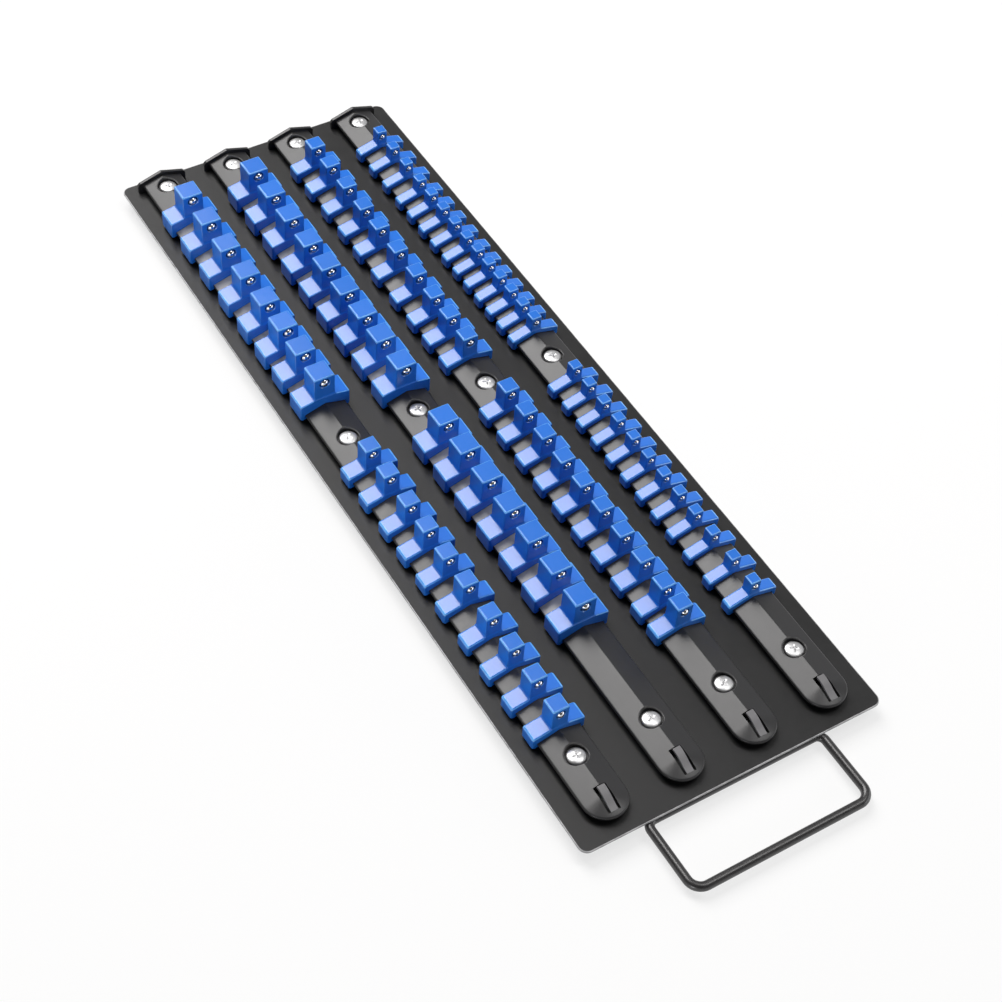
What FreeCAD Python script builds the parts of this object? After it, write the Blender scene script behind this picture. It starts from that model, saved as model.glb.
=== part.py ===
"""A socket rail tray: a steel plate with four rails, eighty sliding socket clips and a wire handle.

Frame: +X to the right, +Y to the rear, +Z up, in millimetres. The origin is on the surface that
the tray stands on, below the middle of its outline with the handle included.
"""
import FreeCAD
import Part
import math
import os
from collections import namedtuple

# ---- Driving dimensions: plate ---------------------------------------------------------------
PLATE_WIDTH = 178.0
PLATE_LENGTH = 520.0
PLATE_THICKNESS = 1.5
PLATE_CORNER_RADIUS = 5.0

# ---- Rubber feet -----------------------------------------------------------------------------
FOOT_HEIGHT = 8.0
FOOT_TOP_RADIUS = 8.0
FOOT_BOTTOM_RADIUS = 7.0
FOOT_SIDE_INSET = 22.0  # from the plate's sides to a foot's centre
FOOT_END_INSET = 30.0  # from the plate's ends, clear of the screws' points
FOOT_SIDES = 10

# ---- Handle: one closed loop of wire, welded below the plate's front edge --------------------
WIRE_DIAMETER = 5.0
HANDLE_WIDTH = 104.0  # between the centre lines of its two legs
GRIP_REACH = 39.5  # from the plate's front edge forward to the grip bar's centre line
SEAT_SETBACK = 2.0  # from the plate's front edge back to the seat bar's centre line
GRIP_BEND_RADIUS = 7.0  # of the centre line
SEAT_BEND_RADIUS = 4.5
WIRE_SIDES = 12
BEND_STEPS = 4

# ---- Rails -----------------------------------------------------------------------------------
RAIL_COUNT = 4
RAIL_SIDE_MARGIN = 23.75  # from the plate's side to the outer rail's centre line
RAIL_FRONT_MARGIN = 7.6  # from the plate's front edge to the rail's rounded tip
RAIL_REAR_MARGIN = 6.0  # from the plate's rear edge to the back of the rail's end wall
ROOF_WIDTH = 24.4
ROOF_RIDGE = 8.6  # heights are above the plate
ROOF_EDGE = 5.0
FLANGE_BOTTOM = 3.6
RAIL_FOOT_WIDTH = 18.0
END_WALL_THICKNESS = 2.0
END_WALL_WIDTH = 30.6
END_WALL_APEX = 10.9
END_WALL_SHOULDER = 6.6
END_WALL_BEVEL = 1.2
CORE_WIDTH = 13.0  # the hollow moulded into the rail's underside
CORE_DEPTH = 4.6
BOSS_LENGTH = 20.0  # solid length left round each screw

# ---- Screws ----------------------------------------------------------------------------------
SCREW_FROM_WALL = 8.6  # rear screw to the end wall's inner face
SCREW_FROM_TIP = 37.2  # front screw to the rail's tip
MIDDLE_SCREW_SHIFT = 1.2  # rearward of the point half way between the other two
SCREW_HEAD_DIAMETER = 10.4
SCREW_HEAD_RIM = 1.0
SCREW_HEAD_HEIGHT = 2.4
SCREW_DOME_DIAMETER = 6.4
SCREW_DIAMETER = 4.2
SCREW_POINT = 2.0
SCREW_REACH = 1.6  # full thread below the plate
COUNTERBORE_GAP = 0.6  # round the head
COUNTERBORE_FLOOR = 4.8
SCREW_CLEARANCE = 0.2  # round the shank in the rail
HEAD_SIDES = 8
SHANK_SIDES = 6

# ---- Latch tongues at the rails' front ends --------------------------------------------------
LATCH_WIDTH = 4.2
LATCH_THICKNESS = 1.6
LATCH_LENGTH = 13.5
LATCH_RISE = 1.2  # its free end above the ridge, where it stops the clips
LATCH_HEEL = 2.2  # flat length at its free end
LATCH_FROM_TIP = 2.9  # its root to the rail's tip
LATCH_SIDE_GAP = 1.4
LATCH_END_GAP = 1.0

# ---- Clips -----------------------------------------------------------------------------------
CLIP_WIDTH = 30.2  # across the rail, the same for every drive size
CLIP_BOTTOM = 1.8
LIP_TOP = 3.3  # the lips hook under the rail's flanges
LIP_CLEARANCE = 0.6  # between a lip and the rail's foot
CLIP_CLEARANCE = 0.3  # between a clip and the rail's roof and flanges
POST_BEVEL = 0.9
FLARE_HEIGHT = 1.5
BORE_CLEARANCE = 0.1
SPRING_SHARE = 0.55  # a spring's half width over its ball's radius
BORE_SIDES = 6

# One drive size: the square post, the wings beside it, and the ball that holds a socket.
DriveSize = namedtuple(
    "DriveSize",
    "side top setback flare shoulder brow ball_height ball_diameter protrusion travel spring",
)
HALF_INCH = DriveSize(
    side=12.6,
    top=ROOF_RIDGE + 19.6,
    setback=0.6,  # from the saddle's front and rear faces in to the post's
    flare=0.7,  # the post's spread where it meets the wings
    shoulder=ROOF_EDGE + 6.8,  # the wings' outer edges
    brow=ROOF_RIDGE + 4.7,  # where the wings meet the post
    ball_height=ROOF_RIDGE + 15.2,
    ball_diameter=5.2,
    protrusion=1.4,
    travel=1.3,
    spring=3.5,
)
THREE_EIGHTHS = DriveSize(
    side=9.45,
    top=ROOF_RIDGE + 16.5,
    setback=0.45,
    flare=0.75,
    shoulder=ROOF_EDGE + 4.0,
    brow=ROOF_RIDGE + 2.3,
    ball_height=ROOF_RIDGE + 12.0,
    ball_diameter=4.4,
    protrusion=1.2,
    travel=1.1,
    spring=2.6,
)
QUARTER_INCH = DriveSize(
    side=6.3,
    top=ROOF_RIDGE + 11.8,
    setback=0.4,
    flare=0.35,
    shoulder=ROOF_EDGE + 2.8,
    brow=ROOF_RIDGE + 2.3,
    ball_height=ROOF_RIDGE + 7.8,
    ball_diameter=3.4,
    protrusion=0.95,
    travel=0.85,
    spring=1.6,
)

# One run of clips: its rail, its half of the rail, its size and number, the distance from the
# datum behind it to its first clip, from its last clip to the datum in front, and its spacing.
# The datums are the end wall, the middle screw and the latch.
ClipRun = namedtuple("ClipRun", "rail half size count rear_gap front_gap spacing")
CLIP_RUNS = [
    ClipRun(1, "rear", HALF_INCH, 8, 39.6, 32.9, [25, 25, 25, 24, 22, 21, 22]),
    ClipRun(1, "front", THREE_EIGHTHS, 10, 23.7, 40.3, [20, 22, 19, 20, 20, 23, 21, 21, 20]),
    ClipRun(2, "rear", HALF_INCH, 9, 37.8, 19.9, [23, 23, 24, 22, 22, 21, 21, 23]),
    ClipRun(2, "front", HALF_INCH, 7, 26.3, 88.3, 6 * [1]),
    ClipRun(3, "rear", THREE_EIGHTHS, 10, 32.7, 23.0, [19, 21, 21, 19, 22, 22, 20, 18, 19]),
    ClipRun(3, "front", THREE_EIGHTHS, 10, 21.6, 61.9, 8 * [19] + [15]),
    ClipRun(4, "rear", QUARTER_INCH, 14, 34.8, 21.3, 3 * [16.5] + 4 * [14] + 6 * [12.5]),
    ClipRun(4, "front", QUARTER_INCH, 12, 21.9, 58.9, 8 * [14.7] + [15.8, 18.4, 17.4]),
]

# ---- Places that follow from the dimensions --------------------------------------------------
WIRE_RADIUS = WIRE_DIAMETER / 2
PLATE_BOTTOM = FOOT_HEIGHT
PLATE_TOP = PLATE_BOTTOM + PLATE_THICKNESS
PLATE_Y = (GRIP_REACH + WIRE_RADIUS) / 2  # the plate's middle, so that the whole tray is centred
PLATE_FRONT = PLATE_Y - PLATE_LENGTH / 2
PLATE_REAR = PLATE_Y + PLATE_LENGTH / 2
RAIL_PITCH = (PLATE_WIDTH - 2 * RAIL_SIDE_MARGIN) / (RAIL_COUNT - 1)
RAIL_TIP = PLATE_FRONT + RAIL_FRONT_MARGIN
WALL_BACK = PLATE_REAR - RAIL_REAR_MARGIN
WALL_FACE = WALL_BACK - END_WALL_THICKNESS
REAR_SCREW = WALL_FACE - SCREW_FROM_WALL
FRONT_SCREW = RAIL_TIP + SCREW_FROM_TIP
MIDDLE_SCREW = (REAR_SCREW + FRONT_SCREW) / 2 + MIDDLE_SCREW_SHIFT
SCREW_PLACES = [REAR_SCREW, MIDDLE_SCREW, FRONT_SCREW]
COUNTERBORE_DIAMETER = SCREW_HEAD_DIAMETER + 2 * COUNTERBORE_GAP
ROOF_SLOPE = (ROOF_RIDGE - ROOF_EDGE) / (ROOF_WIDTH / 2)
LATCH_ROOT = RAIL_TIP + LATCH_FROM_TIP
LATCH_STOP = LATCH_ROOT + LATCH_LENGTH + LATCH_END_GAP  # no clip comes further forward
LATCH_ROOT_TOP = ROOF_EDGE + ROOF_SLOPE * LATCH_FROM_TIP


def rail_x(number):
    """Centre line of a rail, numbered from 1 at the left."""
    return (number - (RAIL_COUNT + 1) / 2) * RAIL_PITCH


# ---- Shape helpers ---------------------------------------------------------------------------
def flat_face(points):
    """A flat face with straight sides through the points."""
    return Part.Face(Part.makePolygon(points + points[:1]))


def stacked_solid(rings, closed=False):
    """A flat-sided solid through rings of points, each with the same number of points.

    A closed stack joins its last ring to its first, as a loop of wire does. An open one is
    capped at both ends.
    """
    faces = []
    pairs = list(zip(rings, rings[1:]))
    if closed:
        pairs.append((rings[-1], rings[0]))
    else:
        faces.append(flat_face(rings[0]))
        faces.append(flat_face(rings[-1]))
    for lower, upper in pairs:
        for i in range(len(lower)):
            faces.append(flat_face([lower[i - 1], lower[i], upper[i], upper[i - 1]]))
    shell = Part.makeShell(faces)
    shell.sewShape()
    solid = Part.makeSolid(shell)
    if solid.Volume < 0:
        solid.reverse()
    return solid


def regular_ring(radius, sides, place):
    """Corners of a regular polygon; place turns two coordinates in its plane into a point."""
    turns = [2 * math.pi * (i + 0.5) / sides for i in range(sides)]
    return [place(radius * math.sin(a), radius * math.cos(a)) for a in turns]


def upright(radius_heights, sides, x, y):
    """A many-sided round about the vertical through (x, y), from (radius, height) pairs."""
    rings = []
    for radius, height in radius_heights:
        rings.append(regular_ring(radius, sides, lambda u, v, z=height: FreeCAD.Vector(x + u, y + v, z)))
    return stacked_solid(rings)


def lengthwise(radius_places, sides, height):
    """A many-sided round about a line along Y at a height, from (radius, y) pairs."""
    rings = []
    for radius, along in radius_places:
        rings.append(regular_ring(radius, sides, lambda u, v, y=along: FreeCAD.Vector(u, y, height + v)))
    return stacked_solid(rings)


def box(width, y_low, y_high, z_low, z_high):
    """A box centred on x = 0."""
    corner = FreeCAD.Vector(-width / 2, y_low, z_low)
    return Part.makeBox(width, y_high - y_low, z_high - z_low, corner)


def extrude_xz(outline, y_low, y_high):
    """Extrudes an outline of (x, z) points along Y."""
    face = flat_face([FreeCAD.Vector(x, y_low, z) for x, z in outline])
    return face.extrude(FreeCAD.Vector(0, y_high - y_low, 0))


def mirrored(right_half):
    """The whole outline, from its right half listed from the bottom up."""
    left_half = [(-x, z) for x, z in reversed(right_half) if x > 0]
    return right_half + left_half


def moved(shape, x, y, z):
    """A copy of a shape, moved."""
    copy = shape.copy()
    copy.translate(FreeCAD.Vector(x, y, z))
    return copy


# ---- Plate, feet and handle ------------------------------------------------------------------
def make_plate():
    """The steel plate, with a pilot hole for every screw."""
    corner = FreeCAD.Vector(-PLATE_WIDTH / 2, PLATE_FRONT, PLATE_BOTTOM)
    plate = Part.makeBox(PLATE_WIDTH, PLATE_LENGTH, PLATE_THICKNESS, corner)
    upright_edges = [e for e in plate.Edges if abs(e.tangentAt(e.FirstParameter).z) > 0.5]
    plate = plate.makeFillet(PLATE_CORNER_RADIUS, upright_edges)
    pilot = [(SCREW_DIAMETER / 2, PLATE_BOTTOM - 1), (SCREW_DIAMETER / 2, PLATE_TOP + 1)]
    holes = []
    for number in range(1, RAIL_COUNT + 1):
        for y in SCREW_PLACES:
            holes.append(upright(pilot, SHANK_SIDES, rail_x(number), y))
    return plate.cut(Part.makeCompound(holes))


def make_feet():
    """Four tapered rubber feet stuck under the plate's corners."""
    profile = [(FOOT_BOTTOM_RADIUS, 0), (FOOT_TOP_RADIUS, FOOT_HEIGHT)]
    feet = []
    for side in (-1, 1):
        x = side * (PLATE_WIDTH / 2 - FOOT_SIDE_INSET)
        for y in (PLATE_FRONT + FOOT_END_INSET, PLATE_REAR - FOOT_END_INSET):
            feet.append(upright(profile, FOOT_SIDES, x, y))
    return Part.makeCompound(feet)


def make_handle():
    """The wire loop: two legs, a grip bar in front and a seat bar flat against the plate."""
    grip_y = PLATE_FRONT - GRIP_REACH
    seat_y = PLATE_FRONT + SEAT_SETBACK
    half = HANDLE_WIDTH / 2
    corners = [
        (-half, grip_y, GRIP_BEND_RADIUS, 180),
        (half, grip_y, GRIP_BEND_RADIUS, 270),
        (half, seat_y, SEAT_BEND_RADIUS, 0),
        (-half, seat_y, SEAT_BEND_RADIUS, 90),
    ]
    flat_radius = WIRE_RADIUS / math.cos(math.pi / WIRE_SIDES)  # so that the flats are tangent
    rings = []
    for x, y, bend, first_angle in corners:
        centre_x = x - math.copysign(bend, x)
        centre_y = y + bend if y == grip_y else y - bend
        for step in range(BEND_STEPS + 1):
            angle = math.radians(first_angle + 90 * step / BEND_STEPS)
            rings.append(wire_ring(centre_x, centre_y, bend, angle, flat_radius))
    return stacked_solid(rings, closed=True)


def wire_ring(centre_x, centre_y, bend, angle, radius):
    """The wire's section where its centre line is at an angle round a bend's centre."""

    def place(out, up):
        reach = bend + out
        x = centre_x + reach * math.cos(angle)
        y = centre_y + reach * math.sin(angle)
        return FreeCAD.Vector(x, y, PLATE_BOTTOM - WIRE_RADIUS + up)

    return regular_ring(radius, WIRE_SIDES, place)


# ---- Rails, screws and latches ---------------------------------------------------------------
def half_round_end(half_outline, centre_y):
    """Turns half an outline of (x, z) points round the front end of a rail."""
    face = flat_face([FreeCAD.Vector(x, centre_y, z) for x, z in half_outline])
    return face.revolve(FreeCAD.Vector(0, centre_y, 0), FreeCAD.Vector(0, 0, 1), -180)


def make_rail():
    """One rail at x = 0: a ridged roof over a narrow foot, with a wall at its rear end."""
    half_roof = ROOF_WIDTH / 2
    half_foot = RAIL_FOOT_WIDTH / 2
    roof = [(0, FLANGE_BOTTOM), (half_roof, FLANGE_BOTTOM), (half_roof, ROOF_EDGE), (0, ROOF_RIDGE)]
    foot = [(0, 0), (half_foot, 0), (half_foot, FLANGE_BOTTOM), (0, FLANGE_BOTTOM)]
    round_y = RAIL_TIP + half_roof
    solids = [extrude_xz(mirrored(roof[1:]), round_y, WALL_FACE)]
    solids.append(extrude_xz(mirrored(foot[1:3]), round_y, WALL_FACE))
    solids.append(half_round_end(roof, round_y))
    solids.append(half_round_end(foot, round_y))
    solids.append(make_end_wall())
    rail = solids[0].multiFuse(solids[1:]).removeSplitter()
    rail = rail.cut(Part.makeCompound(rail_cuts())).removeSplitter()
    return moved(rail.Solids[0], 0, 0, PLATE_TOP)


def make_end_wall():
    """The wall that closes the rail's rear end, with a gabled top like the roof's."""
    half = END_WALL_WIDTH / 2
    outline = [
        (half, 0),
        (half, END_WALL_SHOULDER - END_WALL_BEVEL),
        (half - END_WALL_BEVEL, END_WALL_SHOULDER),
        (0, END_WALL_APEX),
    ]
    return extrude_xz(mirrored(outline), WALL_FACE, WALL_BACK)


def rail_cuts():
    """What is cut from a rail: screw seats, the latch's window and the hollows underneath."""
    over = ROOF_RIDGE + 1
    seat = [(COUNTERBORE_DIAMETER / 2, COUNTERBORE_FLOOR), (COUNTERBORE_DIAMETER / 2, over)]
    hole_radius = SCREW_DIAMETER / 2 + SCREW_CLEARANCE
    hole = [(hole_radius, -1), (hole_radius, over)]
    cuts = []
    for y in SCREW_PLACES:
        cuts.append(upright(seat, HEAD_SIDES, 0, y).fuse(upright(hole, SHANK_SIDES, 0, y)))
    window_width = LATCH_WIDTH + 2 * LATCH_SIDE_GAP
    cuts.append(box(window_width, LATCH_ROOT, LATCH_STOP, -1, over))
    for front, rear in ((FRONT_SCREW, MIDDLE_SCREW), (MIDDLE_SCREW, REAR_SCREW)):
        y_low = front + BOSS_LENGTH / 2
        y_high = rear - BOSS_LENGTH / 2
        cuts.append(box(CORE_WIDTH, y_low, y_high, -1, CORE_DEPTH))
    return cuts


def make_latch():
    """One latch tongue at x = 0: rooted at the front, with a raised free end that stops clips."""
    free_y = LATCH_ROOT + LATCH_LENGTH
    free_top = ROOF_RIDGE + LATCH_RISE
    outline = [
        (LATCH_ROOT, LATCH_ROOT_TOP - LATCH_THICKNESS),
        (LATCH_ROOT, LATCH_ROOT_TOP),
        (free_y - LATCH_HEEL, free_top),
        (free_y, free_top),
        (free_y, free_top - LATCH_THICKNESS),
        (free_y - LATCH_HEEL, free_top - LATCH_THICKNESS),
    ]
    face = flat_face([FreeCAD.Vector(-LATCH_WIDTH / 2, y, PLATE_TOP + z) for y, z in outline])
    return face.extrude(FreeCAD.Vector(LATCH_WIDTH, 0, 0))


def make_screws():
    """Pan-head screws that cut their own thread in the plate, three to a rail."""
    seat = PLATE_TOP + COUNTERBORE_FLOOR
    end = PLATE_BOTTOM - SCREW_REACH
    head = [
        (SCREW_HEAD_DIAMETER / 2, seat),
        (SCREW_HEAD_DIAMETER / 2, seat + SCREW_HEAD_RIM),
        (SCREW_DOME_DIAMETER / 2, seat + SCREW_HEAD_HEIGHT),
    ]
    shank = [
        (SCREW_DIAMETER / 8, end - SCREW_POINT),
        (SCREW_DIAMETER / 2, end),
        (SCREW_DIAMETER / 2, seat),
    ]
    screws = []
    for number in range(1, RAIL_COUNT + 1):
        for y in SCREW_PLACES:
            top = upright(head, HEAD_SIDES, rail_x(number), y)
            screws.append(top.fuse(upright(shank, SHANK_SIDES, rail_x(number), y)).Solids[0])
    return Part.makeCompound(screws)


# ---- Clips, balls and springs, each made once per drive size at x = 0, y = 0 ------------------
def clip_length(size):
    """Length of a clip's saddle along the rail."""
    return size.side + 2 * size.setback


def ball_depth(size):
    """From the post's front face in to the ball's centre."""
    return size.ball_diameter / 2 - size.protrusion


def spring_front(size):
    """From the post's front face in to the spring, which leaves the ball its travel."""
    return ball_depth(size) + size.ball_diameter / 2 + size.travel + BORE_CLEARANCE


def make_clip(size):
    """A clip: a saddle that grips the rail's flanges, and a square post with a blind bore."""
    half_width = CLIP_WIDTH / 2
    half_slot = ROOF_WIDTH / 2 + CLIP_CLEARANCE
    lip_edge = RAIL_FOOT_WIDTH / 2 + LIP_CLEARANCE
    ceiling = ROOF_RIDGE + CLIP_CLEARANCE
    outline = [
        (0, ceiling),
        (half_slot, ceiling - ROOF_SLOPE * half_slot),
        (half_slot, LIP_TOP),
        (lip_edge, LIP_TOP),
        (half_width, CLIP_BOTTOM),
        (half_width, size.shoulder),
        (size.side / 2 + size.flare, size.brow),
    ]
    half_length = clip_length(size) / 2
    saddle = extrude_xz(mirrored(outline), -half_length, half_length)
    bore_end = spring_front(size) + size.spring
    radius = size.ball_diameter / 2 + BORE_CLEARANCE
    front = -size.side / 2
    bore = lengthwise([(radius, front - 1), (radius, front + bore_end)], BORE_SIDES, size.ball_height)
    return saddle.fuse(make_post(size)).cut(bore).removeSplitter().Solids[0]


def make_post(size):
    """The square post, flared where it meets the wings and bevelled at the top."""
    half = size.side / 2
    levels = [
        (half + size.flare, half + size.setback, size.brow),
        (half, half, size.brow + FLARE_HEIGHT),
        (half, half, size.top - POST_BEVEL),
        (half - POST_BEVEL, half - POST_BEVEL, size.top),
    ]
    rings = []
    for a, b, z in levels:
        rings.append([FreeCAD.Vector(x, y, z) for x, y in ((-a, -b), (a, -b), (a, b), (-a, b))])
    return stacked_solid(rings)


def make_ball(size):
    """The locking ball, as a faceted round that slides in the bore."""
    radius = size.ball_diameter / 2
    centre = -size.side / 2 + ball_depth(size)
    rings = []
    for latitude in (-60, 0, 60):
        turn = math.radians(latitude)
        rings.append((radius * math.cos(turn), centre + radius * math.sin(turn)))
    return lengthwise(rings, BORE_SIDES, size.ball_height)


def make_spring(size):
    """The spring behind the ball, as the bar that its coils fill when the ball is pressed in."""
    half = SPRING_SHARE * size.ball_diameter / 2
    front = -size.side / 2 + spring_front(size)
    return box(2 * half, front, front + size.spring, size.ball_height - half, size.ball_height + half)


def clip_places(run):
    """Y of each clip's centre in a run, from the rear to the front."""
    rear_datum = WALL_FACE if run.half == "rear" else MIDDLE_SCREW
    front_datum = MIDDLE_SCREW if run.half == "rear" else LATCH_STOP
    first = rear_datum - run.rear_gap
    last = front_datum + run.front_gap
    shares = [sum(run.spacing[:i]) / sum(run.spacing) for i in range(run.count)]
    return [first + (last - first) * share for share in shares]


def make_runs():
    """The nodes of every run: its front clip alone, and the clips behind it together.

    A clip, its ball and its spring are three nodes, and so are the three groups behind.
    """
    makers = {"clip": make_clip, "ball": make_ball, "spring": make_spring}
    sizes = {run.size for run in CLIP_RUNS}
    models = {(kind, size): make(size) for kind, make in makers.items() for size in sizes}
    nodes = {}
    for run in CLIP_RUNS:
        places = clip_places(run)
        x = rail_x(run.rail)
        for kind in makers:
            copies = [moved(models[kind, run.size], x, y, PLATE_TOP) for y in places]
            name = f"rail_{run.rail}_{run.half}"
            nodes[f"{name}_{kind}s"] = Part.makeCompound(copies[:-1])
            nodes[f"{name}_end_{kind}"] = copies[-1]
    return nodes


def make_nodes():
    """Every node of the tray by name."""
    nodes = {
        "tray_plate": make_plate(),
        "rubber_feet": make_feet(),
        "handle": make_handle(),
        "rail_screws": make_screws(),
    }
    rail = make_rail()
    latch = make_latch()
    for number in range(1, RAIL_COUNT + 1):
        nodes[f"rail_{number}"] = moved(rail, rail_x(number), 0, 0)
        nodes[f"rail_{number}_latch"] = moved(latch, rail_x(number), 0, 0)
    nodes.update(make_runs())
    return nodes


def main():
    """Writes one STEP file for each node."""
    os.makedirs("parts", exist_ok=True)
    for name, shape in make_nodes().items():
        shape.exportStep(f"parts/{name}.step")


main()
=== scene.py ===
"""Visual model of a socket rail tray: a coated steel plate, four rails, eighty clips and a handle.

Everything is in metres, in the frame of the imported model: +X to the right, +Y to the rear, +Z up,
with the origin on the surface that the tray stands on.
"""
import logging
import math
from dataclasses import dataclass
from enum import Enum
from typing import Callable, Iterable

import bmesh
import bpy
from mathutils import Matrix, Quaternion, Vector


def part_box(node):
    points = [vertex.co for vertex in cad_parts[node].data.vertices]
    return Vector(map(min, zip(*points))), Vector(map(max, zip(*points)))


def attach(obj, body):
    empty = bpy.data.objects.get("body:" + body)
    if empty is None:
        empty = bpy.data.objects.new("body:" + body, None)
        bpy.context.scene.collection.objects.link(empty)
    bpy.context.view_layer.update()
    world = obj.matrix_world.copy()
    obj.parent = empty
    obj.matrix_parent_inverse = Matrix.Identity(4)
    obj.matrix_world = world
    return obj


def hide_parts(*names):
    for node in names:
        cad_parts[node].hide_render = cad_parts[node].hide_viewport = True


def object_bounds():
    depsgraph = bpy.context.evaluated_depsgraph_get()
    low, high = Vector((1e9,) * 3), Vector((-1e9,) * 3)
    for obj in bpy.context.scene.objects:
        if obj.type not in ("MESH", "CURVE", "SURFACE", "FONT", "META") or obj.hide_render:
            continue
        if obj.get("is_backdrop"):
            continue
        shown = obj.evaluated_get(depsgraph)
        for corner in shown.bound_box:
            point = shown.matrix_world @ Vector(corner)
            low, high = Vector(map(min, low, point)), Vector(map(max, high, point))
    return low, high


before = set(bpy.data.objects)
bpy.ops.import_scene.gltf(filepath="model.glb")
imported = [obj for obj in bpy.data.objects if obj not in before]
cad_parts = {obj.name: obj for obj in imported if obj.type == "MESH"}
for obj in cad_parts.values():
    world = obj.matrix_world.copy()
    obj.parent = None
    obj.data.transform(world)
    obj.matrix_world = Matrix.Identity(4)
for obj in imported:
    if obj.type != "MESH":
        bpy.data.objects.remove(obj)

Point = tuple[float, float]
Triple = tuple[float, float, float]
Box = tuple[Vector, Vector]
Solid = bmesh.types.BMesh
Mesh = bpy.types.Mesh
Tree = bpy.types.NodeTree
Node = bpy.types.Node
Socket = bpy.types.NodeSocket
Outputs = bpy.types.bpy_prop_collection

MM = 0.001
QUARTER_TURN = math.pi / 2
FULL_TURN = 2 * math.pi
SMOOTH_LIMIT = math.radians(38)
FINE_MERGE = 1e-7
MERGE = 1e-6
ORIGIN = (0.0, 0.0, 0.0)
BLACK = (0.0, 0.0, 0.0, 1.0)
WHITE = (1.0, 1.0, 1.0, 1.0)
RAILS = range(1, 5)
CAD_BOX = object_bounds()

logging.basicConfig(level=logging.INFO, format="%(message)s")
log = logging.getLogger("socket_tray")


# ---- Choices ---------------------------------------------------------------------------------
class Half(Enum):
    """The two ends of a rail that carry a run of clips each."""

    REAR = "rear"
    FRONT = "front"


class Cut(Enum):
    """How one solid is joined to another."""

    UNION = "UNION"
    DIFFERENCE = "DIFFERENCE"


# ---- Mesh helpers ----------------------------------------------------------------------------
def even_steps(first: float, last: float, steps: int) -> list[float]:
    """The values from the first to the last, both included, in even steps."""
    return [first + (last - first) * step / steps for step in range(steps + 1)]


def tidied(bm: Solid, reach: float = FINE_MERGE, fill: bool = False) -> Solid:
    """Merges a solid's doubles and turns its faces outwards.

    Args:
        bm: The solid, changed in place.
        reach: How near two points are when they are merged.
        fill: True if its open ends are closed too.

    Returns:
        The same solid.
    """
    bmesh.ops.remove_doubles(bm, verts=bm.verts, dist=reach)
    bmesh.ops.dissolve_degenerate(bm, edges=bm.edges, dist=reach)
    if fill:
        bmesh.ops.holes_fill(bm, edges=[edge for edge in bm.edges if edge.is_boundary], sides=0)
    bmesh.ops.recalc_face_normals(bm, faces=bm.faces)
    return bm


def stacked(rings: list[list[Vector]]) -> Solid:
    """Joins rings of points, each with as many points, into a solid with capped ends.

    Args:
        rings: The rings in order; a ring whose points all meet makes a pole.

    Returns:
        The solid, with its doubles merged and its faces outwards.
    """
    bm = bmesh.new()
    rows = [[bm.verts.new(point) for point in ring] for ring in rings]
    bm.faces.new(rows[0][::-1])
    bm.faces.new(rows[-1])
    for lower, upper in zip(rows, rows[1:]):
        for i in range(len(lower)):
            bm.faces.new((lower[i - 1], lower[i], upper[i], upper[i - 1]))
    return tidied(bm)


def turned(profile: list[Point], sides: int, along: str = "Z") -> Solid:
    """Turns a profile of (radius, place) pairs about the Z or the Y axis.

    Args:
        profile: The pairs in order, from one end of the axis to the other.
        sides: How many faces go round.
        along: "Z" or "Y".

    Returns:
        The solid.
    """
    rings = []
    for radius, place in profile:
        ring = []
        for angle in even_steps(0.0, FULL_TURN, sides)[:-1]:
            u, v = radius * math.cos(angle), radius * math.sin(angle)
            ring.append(Vector((u, v, place) if along == "Z" else (u, place, v)))
        rings.append(ring)
    return stacked(rings)


def rounded_rectangle(half_x: float, half_y: float, radius: float, steps: int) -> list[Point]:
    """Points round a rectangle with round corners, counter-clockwise.

    Args:
        half_x: Half its size along X.
        half_y: Half its size along Y.
        radius: Corner radius.
        steps: How many straight pieces make a corner.

    Returns:
        The points as (x, y) pairs.
    """
    points = []
    for quarter, (sx, sy) in enumerate(((1, 1), (-1, 1), (-1, -1), (1, -1))):
        for step in range(steps + 1):
            angle = QUARTER_TURN * (quarter + step / steps)
            x = sx * (half_x - radius) + radius * math.cos(angle)
            y = sy * (half_y - radius) + radius * math.sin(angle)
            points.append((x, y))
    return points


def extruded(outline: list[Point], low: float, high: float, along: str) -> Solid:
    """Makes a prism of an outline.

    Args:
        outline: (y, z) pairs for a prism along "X", (x, z) pairs for one along "Y".
        low: Where it begins.
        high: Where it ends.
        along: "X" or "Y".

    Returns:
        The solid.
    """
    rings = []
    for t in (low, high):
        rings.append([Vector((t, a, z) if along == "X" else (a, t, z)) for a, z in outline])
    return stacked(rings)


def moved(bm: Solid, x: float, y: float, z: float) -> Solid:
    """Moves a solid and gives it back."""
    bmesh.ops.translate(bm, verts=bm.verts, vec=(x, y, z))
    return bm


def softened(bm: Solid, width: float, chosen: Callable, steps: int = 2) -> None:
    """Rounds some edges of a solid.

    Args:
        bm: The solid, changed in place.
        width: How far the rounding reaches from the edge.
        chosen: A test of one edge, true if it is rounded.
        steps: How many faces cross the rounding.
    """
    edges = [edge for edge in bm.edges if chosen(edge)]
    bmesh.ops.bevel(
        bm, geom=edges, offset=width, segments=steps, profile=0.5, affect="EDGES",
        clamp_overlap=True,
    )


def marked(bm: Solid, worn: Callable) -> None:
    """Stores how much painted light each face gets, from 0 to 1, as the "edge" attribute.

    Args:
        bm: The solid, changed in place.
        worn: Gives the value for a face.
    """
    layer = bm.faces.layers.float.new("edge")
    for face in bm.faces:
        face[layer] = worn(face)


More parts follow.
